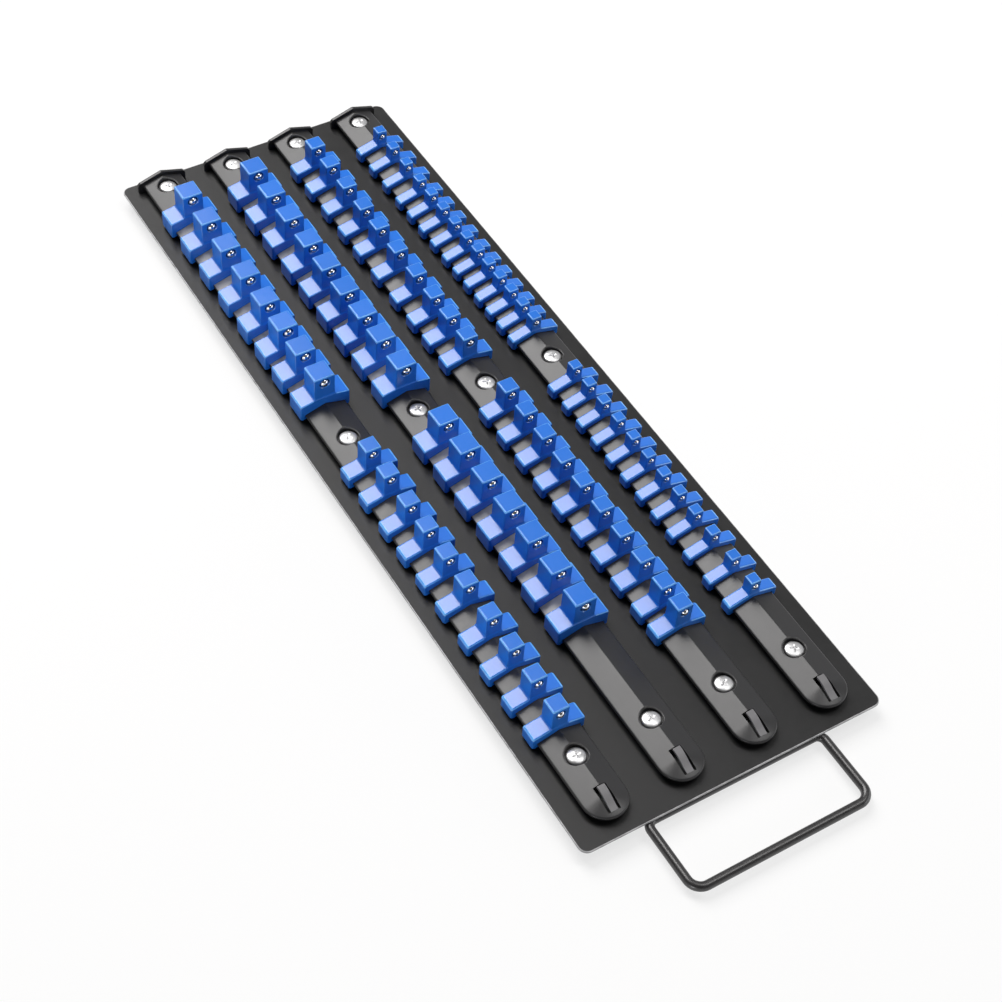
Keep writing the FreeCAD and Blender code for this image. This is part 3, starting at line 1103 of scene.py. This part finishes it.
# ---- Rails, latches and screws ---------------------------------------------------------------
@dataclass
class Rail:
    """One rail: a ridged roof over a narrow foot, with a raised wall at its rear end.

    The ridge's rounding is given as (distance, drop) pairs in shares of its size, and so is the
    point on the eave's rounding. Slopes are the upright part of a face's normal.
    """

    number: int
    ridge: float = 8.6 * MM
    ridge_round: float = 0.5 * MM
    ridge_points: tuple[Point, ...] = ((0.0, 0.5), (0.5, 0.65), (1.0, 1.0))
    eave: float = 5.0 * MM
    eave_round: float = 0.45 * MM
    eave_point: Point = (0.6, 0.05)
    flange_bottom: float = 3.6 * MM
    half_roof: float = 12.2 * MM
    half_foot: float = 9.0 * MM
    tip_steps: int = 24
    seat_radius: float = 6.0 * MM
    seat_floor: float = 4.8 * MM
    seat_sides: int = 40
    rim: float = 0.8 * MM
    rim_steps: int = 3
    rim_reach: float = 0.02 * MM
    rim_rise: float = 0.5 * MM
    rim_angle: float = 0.7
    rim_slopes: Point = (0.05, 0.95)
    # Faint painted highlight on the screw seats' rims.
    rim_highlight: float = 0.1
    track_slope: float = 0.9
    wall_thickness: float = 2.0 * MM
    wall_apex: float = 10.9 * MM
    wall_shoulder: float = 6.6 * MM
    wall_bevel: float = 1.2 * MM
    wall_round: float = 0.3 * MM
    wall_root: float = 0.1 * MM
    window_half_width: float = 3.5 * MM
    window_ends: Point = (2.9 * MM, 17.4 * MM)
    window_step: Point = (1.6 * MM, 3.8 * MM)
    window_bottom: float = -1 * MM

    def _section(self) -> list[Point]:
        """Draws half the rail's section from the ridge out and down.

        Returns:
            The points as (distance, height) pairs.
        """
        slope = (self.ridge - self.eave) / self.half_roof
        r, e = self.ridge_round, self.eave_round
        points = [(out * r, self.ridge - drop * slope * r) for out, drop in self.ridge_points]
        return points + [
            (self.half_roof - 2 * e, self.eave + 2 * e * slope),
            (self.half_roof - self.eave_point[0] * e, self.eave - self.eave_point[1] * e),
            (self.half_roof, self.eave - e),
            (self.half_roof, self.flange_bottom),
            (self.half_foot, self.flange_bottom),
            (self.half_foot, 0.0),
        ]

    def _tracks(self) -> dict[Half, Point]:
        """Finds the stretches of the rail that its two runs of clips cover.

        Returns:
            Each stretch's front and rear end.
        """
        stretches = {}
        for half in Half:
            name = f"rail_{self.number}_{half.value}"
            nodes = (f"{name}_clips", f"{name}_end_clip")
            clips = [middle(corners).y for node in nodes for corners in islands(node)]
            stretches[half] = (min(clips), max(clips))
        return stretches

    def _roof(self, tip: float, rear: float, tracks: dict[Half, Point]) -> Solid:
        """Sweeps the half section down one side, round the tip and back up the other side.

        Args:
            tip: Where the rail begins at the front.
            rear: Where it ends.
            tracks: The stretches that the clips cover, at whose ends the faces are parted.

        Returns:
            The solid.
        """
        section = self._section()
        centre_y = tip + self.half_roof
        ends = sorted((y for stretch in tracks.values() for y in stretch), reverse=True)
        straight = [rear] + ends
        stations = [(y, math.pi) for y in straight]
        stations += [(centre_y, angle) for angle in even_steps(math.pi, FULL_TURN, self.tip_steps)]
        stations += [(y, FULL_TURN) for y in reversed(straight)]
        bm = bmesh.new()
        rows = []
        for y, angle in stations:
            out = Vector((math.cos(angle), math.sin(angle), 0.0))
            points = [Vector((0.0, y, z)) + out * distance for distance, z in section]
            rows.append([bm.verts.new(point) for point in points])
        for first, second in zip(rows, rows[1:]):
            for i in range(1, len(section)):
                bm.faces.new((first[i - 1], first[i], second[i], second[i - 1]))
        bm.faces.new([row[-1] for row in rows])
        bm.faces.new(rows[0] + rows[-1][::-1])
        return tidied(bm)

    def _wall(self, half: float, back: float) -> Solid:
        """Makes the raised wall at the rear end, with softened edges.

        Args:
            half: Half its width.
            back: Where its rear face is.

        Returns:
            The solid.
        """
        shoulder, bevel = self.wall_shoulder, self.wall_bevel
        right = [(half, 0.0), (half, shoulder - bevel), (half - bevel, shoulder)]
        outline = right + [(0.0, self.wall_apex)] + [(-x, z) for x, z in reversed(right)]
        bm = extruded(outline, back - self.wall_thickness, back, "Y")
        softened(bm, self.wall_round, lambda edge: max(v.co.z for v in edge.verts) > self.wall_root)
        return bm

    def _window(self, tip: float) -> Solid:
        """Makes the cutter for the latch's window; its step leaves the foot whole at the tip.

        Args:
            tip: Where the rail begins at the front.

        Returns:
            The solid.
        """
        start, stop = (tip + end for end in self.window_ends)
        step, ledge = self.window_step
        below, above = self.window_bottom, self.wall_apex
        outline = [(start, above), (start, ledge), (start + step, ledge), (start + step, below)]
        outline += [(stop, below), (stop, above)]
        return extruded(outline, -self.window_half_width, self.window_half_width, "X")

    def build(self, shop: Workshop, screws: list[Vector], painted_track_light: dict[Half, float]) -> None:
        """Makes the rail with its screw seats and the latch's window.

        Args:
            shop: The tools.
            screws: Places of the rail's screws.
            painted_track_light: How much pale painted light the rail's top gets along each run of
                clips, from 0 to 1.
        """
        node = f"rail_{self.number}"
        low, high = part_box(node)
        tracks = self._tracks()
        bm = self._roof(low.y, high.y - 0.5 * self.wall_thickness, tracks)
        bm = combined(bm, self._wall((high.x - low.x) / 2, high.y), Cut.UNION)
        seat = [(self.seat_radius, self.seat_floor), (self.seat_radius, self.wall_apex)]
        for screw in screws:
            cutter = moved(turned(seat, self.seat_sides), 0.0, screw.y, 0.0)
            bm = combined(bm, cutter, Cut.DIFFERENCE)
        bm = combined(bm, self._window(low.y), Cut.DIFFERENCE)
        self._soften_rims(bm, screws)
        bm.normal_update()
        self._mark_painted_light(bm, screws, tracks, painted_track_light)
        moved(bm, middle((low, high)).x, 0.0, low.z)
        shop.paint.piece(f"{node}_moulding", finished_mesh(bm, node), RAIL_PLASTIC, "tray", node)

    def _soften_rims(self, bm: Solid, screws: list[Vector]) -> None:
        """Rounds the upper rim of each screw seat.

        Args:
            bm: The rail, changed in place.
            screws: Places of the rail's screws.
        """
        lowest = self.seat_floor + self.rim_rise

        def on_rim(edge: bmesh.types.BMEdge) -> bool:
            """Tests whether an edge lies on a seat's upper rim.

            Args:
                edge: The edge.

            Returns:
                True if it does.
            """
            for vert in edge.verts:
                gaps = [abs(off_axis(vert.co, screw) - self.seat_radius) for screw in screws]
                if min(gaps) > self.rim_reach or vert.co.z < lowest:
                    return False
            return edge.calc_face_angle(0.0) > self.rim_angle

        softened(bm, self.rim, on_rim, self.rim_steps)

    def _mark_painted_light(
        self, bm: Solid, screws: list[Vector], tracks: dict[Half, Point], painted_track_light: dict[Half, float]
    ) -> None:
        """Marks a faint painted highlight on the seats' rims, and pale painted light on the tracks
        under the clips.

        Args:
            bm: The rail, changed in place.
            screws: Places of the rail's screws.
            tracks: The stretches that the clips cover.
            painted_track_light: How much pale painted light each run's stretch gets.
        """

        def worn(face: bmesh.types.BMFace) -> float:
            """Tells how much painted light a face gets.

            Args:
                face: The face.

            Returns:
                Its painted light, from 0 to 1.
            """
            place = face.calc_center_median()
            off = min(off_axis(place, screw) for screw in screws)
            steepest, flattest = self.rim_slopes
            # Painted highlight on the seats' sloping rims.
            if off < self.seat_radius + self.rim and steepest < face.normal.z < flattest:
                return self.rim_highlight
            # Painted light: pale patches on upward faces along each run of clips.
            if face.normal.z > self.track_slope:
                for half, (front, rear) in tracks.items():
                    if front < place.y < rear:
                        return painted_track_light[half]
            return 0.0

        marked(bm, worn)


@dataclass
class LatchTongue:
    """A springy tongue at a rail's front end, whose raised heel stops the clips."""

    number: int
    thickness: float = 1.6 * MM
    heel: float = 2.2 * MM
    edge: float = 0.25 * MM
    sharp_angle: float = 0.6
    ease: float = 0.35
    steps: int = 5

    def build(self, shop: Workshop) -> None:
        """Extrudes the tongue's side outline and softens its edges.

        Args:
            shop: The tools.
        """
        node = f"rail_{self.number}_latch"
        low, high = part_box(node)
        length = high.y - self.heel - low.y
        root = low.z + self.thickness
        upper = []
        for share in even_steps(0.0, 1.0, self.steps):
            lift = share - self.ease * math.sin(FULL_TURN * share) / FULL_TURN
            upper.append((low.y + length * share, root + (high.z - root) * lift))
        upper.append((high.y, high.z))
        lower = [(y, z - self.thickness) for y, z in upper]
        bm = extruded(lower[:1] + upper + lower[:0:-1], low.x, high.x, "X")
        softened(bm, self.edge, lambda edge: edge.calc_face_angle(0.0) > self.sharp_angle)
        # The tongue's pale grey is painted light for its lit top.
        shop.paint.piece(f"{node}_tongue", finished_mesh(bm, node), LATCH_PLASTIC, node, node)


@dataclass
class PanScrews:
    """Domed screws with a cross recess, three to a rail.

    Each end of the recess is (share of its reach, depth, share of its width), bottom first.
    """

    head_radius: float = 5.2 * MM
    head_height: float = 2.4 * MM
    head_edge: float = 0.15 * MM
    head_band: float = 0.7 * MM
    head_sides: int = 32
    dome_steps: int = 7
    dome_powers: Point = (0.75, 0.9)
    recess_reach: float = 3.1 * MM
    recess_width: float = 1.1 * MM
    recess_ends: tuple[Triple, ...] = ((0.25, 0.7 * MM, 0.15), (1.1, -0.5 * MM, 1.4))
    core_radius: float = 1.55 * MM
    thread_radius: float = 2.1 * MM
    thread_rows: int = 4
    pitch: float = 1.6 * MM
    point: float = 2.0 * MM
    point_radius: float = 0.15 * MM
    shank_top: float = 0.2 * MM
    shank_sides: int = 16
    turn: float = math.pi / 4
    seed: int = 5

    def places(self) -> dict[int, list[Vector]]:
        """Finds each rail's screws.

        Returns:
            The undersides of their heads, from the rear to the front, by the rail's number.
        """
        boxes = islands("rail_screws")
        found: dict[int, list[Vector]] = {}
        for number in RAILS:
            x = middle(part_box(f"rail_{number}")).x
            near = [corners for corners in boxes if abs(middle(corners).x - x) < self.head_radius]
            found[number] = [Vector((x, middle(c).y, c[1].z - self.head_height)) for c in near]
        return found

    def _head(self) -> Solid:
        """Makes the domed head with its cross recess.

        Returns:
            The solid.
        """
        radius, edge = self.head_radius, self.head_edge
        profile = [(0.0, 0.0), (radius - edge, 0.0), (radius, edge)]
        rise = self.head_height - self.head_band
        out, up = self.dome_powers
        for angle in even_steps(0.0, QUARTER_TURN, self.dome_steps)[:-1]:
            height = self.head_band + rise * math.sin(angle) ** up
            profile.append((radius * math.cos(angle) ** out, height))
        profile.append((0.0, self.head_height))
        bm = turned(profile, self.head_sides)
        for turn in (0.0, QUARTER_TURN):
            rings = []
            for share, depth, spread in self.recess_ends:
                reach, width = self.recess_reach * share, self.recess_width / 2 * spread
                outline = [(-reach, -width), (reach, -width), (reach, width), (-reach, width)]
                rings.append([Vector((x, y, self.head_height - depth)) for x, y in outline])
            cutter = stacked(rings)
            bmesh.ops.rotate(cutter, verts=cutter.verts, matrix=Matrix.Rotation(turn, 3, "Z"))
            bm = combined(bm, cutter, Cut.DIFFERENCE)
        return bm

    def _shank(self, length: float) -> Solid:
        """Makes the threaded shank, as a helical ridge that runs out at the point.

        Args:
            length: From the head's underside to the point.

        Returns:
            The solid.
        """
        sides, step = self.shank_sides, self.thread_rows
        rows = int(length / self.pitch * step) + step
        bm = bmesh.new()
        grid = []
        for row in range(rows + 1):
            crest = self.thread_radius if row % step == 1 else self.core_radius
            ring = []
            for side, angle in enumerate(even_steps(0.0, FULL_TURN, sides)[:-1]):
                z = self.pitch * (0.5 - row / step + side / sides)
                z = max(-length, min(self.shank_top, z))
                taper = min(1.0, max(0.0, (z + length) / self.point))
                radius = self.point_radius + (crest - self.point_radius) * taper
                ring.append(bm.verts.new((radius * math.cos(angle), radius * math.sin(angle), z)))
            grid.append(ring)
        for a, b in zip(grid, grid[1:]):
            for side in range(sides - 1):
                bm.faces.new((a[side], b[side], b[side + 1], a[side + 1]))
        for row in range(rows - step):
            a, b, c, d = (grid[row + i] for i in (0, 1, step + 1, step))
            bm.faces.new((a[-1], b[-1], c[0], d[0]))
        return tidied(bm, MERGE, fill=True)

    def build(self, shop: Workshop, places: dict[int, list[Vector]]) -> None:
        """Makes one screw and places it in every seat, each turned its own way.

        Args:
            shop: The tools.
            places: Each rail's screws.
        """
        low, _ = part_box("rail_screws")
        points = [point for rail in places.values() for point in rail]
        bm = self._head()
        bm.from_mesh(finished_mesh(self._shank(points[0].z - low.z), "shank"))
        mesh = shop.repeated(bm, points, SCREW_STEEL, self.seed, self.turn)
        shop.paint.piece("rail_screws_pan_head", mesh, SCREW_STEEL, "tray", "rail_screws")


# ---- Clips -----------------------------------------------------------------------------------
@dataclass(frozen=True)
class DriveShape:
    """The sizes of a clip that change with the drive size, in metres above the plate."""

    side: float
    top: float
    setback: float
    flare: float
    shoulder: float
    brow: float
    ball_height: float
    ball_radius: float
    protrusion: float
    travel: float
    spring: float
    wing_round: float
    front_round: float
    corner_round: float
    crown: float
    # How much pale painted light the rail's top gets along a run of this size.
    painted_track_light: float


class Drive(Enum):
    """The three drive sizes of the posts."""

    HALF_INCH = DriveShape(
        side=12.6 * MM, top=28.2 * MM, setback=0.6 * MM, flare=0.7 * MM, shoulder=11.8 * MM,
        brow=13.3 * MM, ball_height=23.8 * MM, ball_radius=2.6 * MM, protrusion=1.4 * MM,
        travel=1.3 * MM, spring=3.5 * MM, wing_round=1.3 * MM, front_round=0.9 * MM,
        corner_round=0.55 * MM, crown=1.0 * MM, painted_track_light=0.9,
    )
    THREE_EIGHTHS = DriveShape(
        side=9.45 * MM, top=25.1 * MM, setback=0.45 * MM, flare=0.75 * MM, shoulder=9.0 * MM,
        brow=10.9 * MM, ball_height=20.6 * MM, ball_radius=2.2 * MM, protrusion=1.2 * MM,
        travel=1.1 * MM, spring=2.6 * MM, wing_round=1.6 * MM, front_round=1.1 * MM,
        corner_round=0.5 * MM, crown=0.95 * MM, painted_track_light=0.1,
    )
    QUARTER_INCH = DriveShape(
        side=6.3 * MM, top=20.4 * MM, setback=0.4 * MM, flare=0.35 * MM, shoulder=7.8 * MM,
        brow=10.9 * MM, ball_height=16.4 * MM, ball_radius=1.7 * MM, protrusion=0.95 * MM,
        travel=0.85 * MM, spring=1.6 * MM, wing_round=1.7 * MM, front_round=1.0 * MM,
        corner_round=0.4 * MM, crown=0.75 * MM, painted_track_light=0.06,
    )


@dataclass
class ClipShape:
    """Builds one clip about x = 0, y = 0, with heights above the plate's top.

    The bore's gap and its mouth are in shares of the ball's radius. A face is part of a rounding
    if the second part of its normal is at least the tilt and the largest at most the square.
    """

    drive: DriveShape
    half_width: float = 15.1 * MM
    bottom: float = 1.8 * MM
    bottom_bevel: float = 0.3 * MM
    lip_top: float = 3.3 * MM
    lip_edge: float = 9.6 * MM
    half_slot: float = 12.5 * MM
    ceiling: float = 8.9 * MM
    slot_eave: float = 5.21 * MM
    wing_steps: int = 4
    front_steps: int = 3
    flare_height: float = 1.5 * MM
    flare_steps: int = 4
    crown_steps: int = 5
    corner_steps: int = 3
    post_root: float = 0.9 * MM
    hair: float = 0.02 * MM
    bore_gap: float = 0.20
    bore_sides: int = 20
    bore_end: float = 0.4 * MM
    mouth_share: float = 0.14
    mouth_reach: float = 0.5 * MM
    ball_sides: int = 18
    ball_steps: int = 10
    slack: float = 0.1 * MM
    tilt: float = 0.3
    square: float = 0.97
    upward: float = 0.25
    # Painted highlights: strongest on the tops' roundings, faint on the upright corners, between
    # these round the bore's mouth.
    top_highlight: float = 1.0
    corner_highlight: float = 0.1
    bore_rim_highlight: float = 0.45
    bore_margin: float = 1.0 * MM

    def _section(self, inset: float) -> list[Point]:
        """Draws the saddle's section.

        Args:
            inset: How far its outer faces are moved in.

        Returns:
            The outline as (x, z) pairs.
        """
        d = self.drive
        post = d.side / 2 + d.flare
        rise = math.atan2(d.brow - d.shoulder, self.half_width - post)
        r, bevel = d.wing_round, self.bottom_bevel
        x, z = self.half_width - r, d.shoulder + r * math.tan(rise) - r / math.cos(rise)
        right = [(self.lip_edge, self.lip_top), (self.half_width - inset - bevel, self.bottom)]
        right.append((self.half_width - inset, self.bottom + bevel))
        for angle in even_steps(0.0, QUARTER_TURN - rise, self.wing_steps):
            right.append((x + (r - inset) * math.cos(angle), z + (r - inset) * math.sin(angle)))
        right.append((post - inset * math.sin(rise), d.brow - inset * math.cos(rise)))
        slot = [(self.half_slot, self.lip_top), (self.half_slot, self.slot_eave)]
        left = [(-x, z) for x, z in reversed(right)]
        arch = [(-x, z) for x, z in slot] + [(0.0, self.ceiling)] + slot[::-1]
        return right + left + arch

    def _saddle(self) -> Solid:
        """Makes the saddle, with its front and rear edges rounded.

        Returns:
            The solid.
        """
        half = self.drive.side / 2 + self.drive.setback
        r = self.drive.front_round
        ends = []
        for angle in even_steps(0.0, QUARTER_TURN, self.front_steps):
            ends.append((-(half - r) - r * math.cos(angle), r * (1 - math.sin(angle))))
        rings = []
        for y, inset in ends + [(-y, inset) for y, inset in reversed(ends)]:
            rings.append([Vector((x, y, z)) for x, z in self._section(inset)])
        return stacked(rings)

    def _post(self) -> Solid:
        """Makes the square post, flared at its base and bevelled at its top.

        Returns:
            The solid.
        """
        d = self.drive
        half = d.side / 2
        base_x, base_y = half + d.flare, half + d.setback - self.hair
        base_top = d.brow - d.front_round
        levels = [(base_x, base_y, base_top - self.post_root), (base_x, base_y, base_top)]
        for share in even_steps(0.0, 1.0, self.flare_steps):
            side_out = d.flare * (1 - math.sin(QUARTER_TURN * share))
            front_out = (d.setback - self.hair) * (1 - share * share * (3 - 2 * share))
            height = d.brow + self.flare_height * (1 - math.cos(QUARTER_TURN * share))
            levels.append((half + side_out, half + front_out, height))
        for angle in even_steps(0.0, QUARTER_TURN, self.crown_steps):
            inset = d.crown * (1 - math.cos(angle))
            levels.append((half - inset, half - inset, d.top - d.crown * (1 - math.sin(angle))))
        rings = []
        for x, y, z in levels:
            outline = rounded_rectangle(x, y, d.corner_round, self.corner_steps)
            rings.append([Vector((u, v, z)) for u, v in outline])
        return stacked(rings)

    def _seated_depth(self) -> float:
        """From the post's front face to the start of the spring."""
        d = self.drive
        return 2 * d.ball_radius - d.protrusion + d.travel + self.slack

    def _bore(self) -> Solid:
        """Makes the cutter for the bore of the ball and the spring, with a chamfered mouth.

        Returns:
            The solid.
        """
        d = self.drive
        front = -d.side / 2
        radius = d.ball_radius * (1 + self.bore_gap)
        mouth = d.ball_radius * self.mouth_share
        depth = self._seated_depth() + d.spring
        profile = [
            (radius + mouth + self.mouth_reach, front - self.mouth_reach),
            (radius + mouth, front),
            (radius, front + mouth),
            (radius, front + depth),
            (0.0, front + depth + self.bore_end),
        ]
        return moved(turned(profile, self.bore_sides, "Y"), 0.0, 0.0, d.ball_height)

    def clip(self) -> Solid:
        """Makes the whole clip as one closed skin, with its painted highlights marked.

        Returns:
            The solid.
        """
        solid = combined(self._saddle(), self._post(), Cut.UNION)
        bm = combined(solid, self._bore(), Cut.DIFFERENCE)
        marked(bm, self._worn)
        return bm

    def _worn(self, face: bmesh.types.BMFace) -> float:
        """Tells how much painted highlight a face gets: the tops' outer roundings most, the
        corners' less.

        Args:
            face: The face.

        Returns:
            Its painted highlight, from 0 to 1.
        """
        d = self.drive
        x, y, z = face.calc_center_median()
        parts = sorted(abs(part) for part in face.normal)
        plain = parts[1] < self.tilt or parts[2] > self.square or z < self.lip_top
        at_waist_height = d.brow - d.front_round < z < d.brow + self.flare_height
        if plain or (at_waist_height and abs(x) < d.side / 2 + d.flare):
            return 0.0
        # Painted highlight round the rim of the bore's mouth.
        if math.hypot(x, z - d.ball_height) < d.ball_radius + self.bore_margin and y < 0.0:
            return self.bore_rim_highlight
        return self.top_highlight if face.normal.z > self.upward else self.corner_highlight

    def ball(self) -> Solid:
        """Makes the locking ball at its place in the post's front face.

        Returns:
            The solid.
        """
        d = self.drive
        centre = -d.side / 2 + d.ball_radius - d.protrusion
        profile = []
        for angle in even_steps(0.0, math.pi, self.ball_steps):
            radius = d.ball_radius * math.sin(angle)
            profile.append((radius, centre - d.ball_radius * math.cos(angle)))
        return moved(turned(profile, self.ball_sides, "Y"), 0.0, 0.0, d.ball_height)

    def spring_start(self) -> Vector:
        """Where the spring begins, behind the ball."""
        d = self.drive
        return Vector((0.0, -d.side / 2 + self._seated_depth(), d.ball_height))


@dataclass
class ClipRun:
    """One run of clips of one drive size on one half of a rail."""

    rail: int
    half: Half
    drive: Drive
    spring_share: float = 0.55
    spring_wire: float = 0.19 * MM
    first_seed: int = 40

    def build(self, shop: Workshop, plate_top: float) -> None:
        """Makes the run's clips, balls and springs, the front clip apart from the others.

        Args:
            shop: The tools.
            plate_top: Height of the plate's top.
        """
        name = f"rail_{self.rail}_{self.half.value}"
        shape = ClipShape(self.drive.value)
        parts = (("clips", "balls", "springs"), ("end_clip", "end_ball", "end_spring"))
        for number, kinds in enumerate(parts):
            clips, balls, springs = (f"{name}_{kind}" for kind in kinds)
            seed = self.first_seed + 8 * self.rail + 4 * (self.half is Half.FRONT) + number
            middles = [middle(corners) for corners in islands(clips)]
            points = [Vector((place.x, place.y, plate_top)) for place in middles]
            mesh = shop.repeated(shape.clip(), points, CLIP_PLASTIC, seed)
            shop.paint.piece(f"{clips}_moulded", mesh, CLIP_PLASTIC, clips, clips)
            mesh = shop.repeated(shape.ball(), points, BALL_STEEL, seed)
            shop.paint.piece(f"{balls}_turned", mesh, BALL_STEEL, balls, balls)
            self._springs(shop, shape, points, clips, springs)

    def _springs(
        self, shop: Workshop, shape: ClipShape, points: list[Vector], body: str, node: str
    ) -> None:
        """Coils a spring behind each ball.

        Args:
            shop: The tools.
            shape: The clip's shape.
            points: Places of the clips.
            body: The CAD body that the springs ride on.
            node: The CAD node that they stand for.
        """
        d, wire = self.drive.value, self.spring_wire
        mesh = shop.coils.run(
            [point + shape.spring_start() + Vector((0.0, wire, 0.0)) for point in points],
            Length=d.spring - 2 * wire,
            Radius=self.spring_share * d.ball_radius - wire,
            Wire_Radius=wire,
            Turns=d.spring / (4 * wire),
            Finish=shop.paint.materials[SPRING_STEEL],
        )
        shop.paint.piece(f"{node}_coiled", outward(mesh, node), SPRING_STEEL, body, node)


# ---- Studio ----------------------------------------------------------------------------------
@dataclass(frozen=True)
class SoftLamp:
    """An oblong soft lamp that looks at the tray from a direction; its radiance is 1 for white."""

    name: str
    way: Triple
    size: Point
    radiance: float
    colour: Triple
    distance: float = 2.5

    def build(self) -> None:
        """Adds the lamp; its power follows from its radiance and size."""
        lamp = bpy.data.lights.new(self.name, "AREA")
        lamp.shape = "RECTANGLE"
        lamp.size, lamp.size_y = self.size
        lamp.energy = self.radiance * math.pi * self.size[0] * self.size[1]
        lamp.color = self.colour
        body = linked(self.name, lamp)
        way = Vector(self.way).normalized()
        body.location = way * self.distance
        body.rotation_mode = "QUATERNION"
        body.rotation_quaternion = (-way).to_track_quat("-Z", "Y")


SOFT_LAMPS = (
    SoftLamp("key_lamp", (-0.06, 0.55, 0.835), (1.4, 2.0), 7.5, (1.0, 0.985, 0.975)),
    SoftLamp("top_lamp", (0.38, -0.14, 0.91), (0.9, 1.2), 4.6, (1.0, 0.99, 0.98)),
    SoftLamp("left_lamp", (-0.80, -0.54, 0.12), (0.7, 0.7), 7.2, (0.97, 0.98, 1.0)),
    SoftLamp("far_lamp", (0.75, 0.37, 0.55), (1.5, 1.5), 0.4, (0.99, 0.99, 1.0)),
    SoftLamp("right_lamp", (0.80, -0.50, 0.22), (2.2, 0.9), 2.2, (0.98, 0.99, 1.0)),
)


@dataclass
class Studio:
    """A white floor and backdrop, the soft lamps, an even surround and the camera."""

    camera_place: Triple = (-0.4014, -0.5907, 0.8223)
    camera_heading: float = 35.09
    camera_dip: float = 50.21
    camera_roll: float = 5.25
    lens: float = 71.24
    sensor: float = 36.0
    world_colour: Triple = (0.97, 0.985, 1.0)
    world_level: float = 0.13
    floor_colour: Triple = (0.86, 0.86, 0.86)
    floor_glow: float = 0.72
    backdrop_radius: float = 30.0
    backdrop_foot: float = 2.0
    backdrop_height: float = 8.0
    backdrop_sides: int = 48
    lid_reach: float = 0.01

    def build(self) -> None:
        """Sets up the floor, the lights and the camera."""
        self._floor()
        for lamp in SOFT_LAMPS:
            lamp.build()
        self._world()
        self._camera()
        bpy.context.scene.view_settings.view_transform = "Standard"
        log.info("studio: floor, lamps, world and camera")

    def _floor(self) -> None:
        """Makes a white floor that rises into a distant low wall.

        The eye and reflections see it near white, and it keeps the tray's shadow.
        """
        radius, foot, height = self.backdrop_radius, self.backdrop_foot, self.backdrop_height
        profile = [(0.0, 0.0), (radius - foot, 0.0), (radius, foot), (radius, height)]
        bm = turned(profile, self.backdrop_sides)
        lid = [face for face in bm.faces if face.calc_center_median().z > height - self.lid_reach]
        bmesh.ops.delete(bm, geom=lid, context="FACES")
        mesh = bpy.data.meshes.new("floor")
        bm.to_mesh(mesh)
        bm.free()
        floor = linked("floor", mesh)
        material = bpy.data.materials.new("White floor")
        material.use_nodes = True
        material.node_tree.nodes.clear()
        bench = Bench(material.node_tree)
        matt = bench.made("ShaderNodeBsdfDiffuse", Color=opaque(self.floor_colour))
        glow = bench.made("ShaderNodeEmission", Color=WHITE, Strength=1.0)
        rays = bench.node("ShaderNodeLightPath").outputs
        seen = bench.maths("MAXIMUM", rays["Is Camera Ray"], rays["Is Glossy Ray"])
        seen = bench.maths("MAXIMUM", seen, rays["Is Transmission Ray"])
        share = bench.maths("MULTIPLY", seen, self.floor_glow)
        mixed = bench.made("ShaderNodeMixShader", _0=share, _1=matt, _2=glow)
        bench.feed(bench.node("ShaderNodeOutputMaterial"), Surface=mixed)
        mesh.materials.append(material)
        floor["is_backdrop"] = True

    def _world(self) -> None:
        """Makes an even, slightly cool surround."""
        world = bpy.data.worlds.new("Surround")
        world.use_nodes = True
        background = world.node_tree.nodes["Background"]
        background.inputs["Color"].default_value = opaque(self.world_colour)
        background.inputs["Strength"].default_value = self.world_level
        bpy.context.scene.world = world

    def _camera(self) -> None:
        """Sets the camera above the tray's left front, rolled a little."""
        heading, dip = math.radians(self.camera_heading), math.radians(self.camera_dip)
        level = math.cos(dip)
        forward = Vector((math.sin(heading) * level, math.cos(heading) * level, -math.sin(dip)))
        data = bpy.data.cameras.new("camera")
        data.lens = self.lens
        data.sensor_width = self.sensor
        camera = linked("camera", data)
        camera.location = self.camera_place
        camera.rotation_mode = "QUATERNION"
        roll = Quaternion((0.0, 0.0, 1.0), math.radians(self.camera_roll))
        camera.rotation_quaternion = forward.to_track_quat("-Z", "Y") @ roll
        bpy.context.scene.camera = camera


def clip_runs() -> list[ClipRun]:
    """Lists the eight runs of clips.

    Returns:
        The runs, rail by rail, the rear one first.
    """
    sizes = {
        1: (Drive.HALF_INCH, Drive.THREE_EIGHTHS),
        2: (Drive.HALF_INCH, Drive.HALF_INCH),
        3: (Drive.THREE_EIGHTHS, Drive.THREE_EIGHTHS),
        4: (Drive.QUARTER_INCH, Drive.QUARTER_INCH),
    }
    runs = []
    for rail, pair in sizes.items():
        runs += [ClipRun(rail, half, drive) for half, drive in zip(Half, pair)]
    return runs


def note_size() -> None:
    """Works out the CAD box and the visual model's box, without keeping them."""
    boxes = {"cad": CAD_BOX, "visual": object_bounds()}
    {name: [list(corner) for corner in box] for name, box in boxes.items()}


def main() -> None:
    """Builds the tray piece by piece and then the studio."""
    shop = Workshop(Paintshop(), PlacedCopies(), CoilSprings(), WireLoop())
    TrayPlate().build(shop)
    RubberFeet().build(shop)
    PullHandle().build(shop)
    screws = PanScrews()
    places = screws.places()
    screws.build(shop, places)
    runs = clip_runs()
    for number in RAILS:
        # Pale painted light on each run's stretch of rail top.
        painted_track_light = {run.half: run.drive.value.painted_track_light for run in runs if run.rail == number}
        Rail(number).build(shop, places[number], painted_track_light)
        LatchTongue(number).build(shop)
    plate_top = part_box("tray_plate")[1].z
    for run in runs:
        run.build(shop, plate_top)
    Studio().build()
    note_size()


if __name__ == "__main__":
    main()
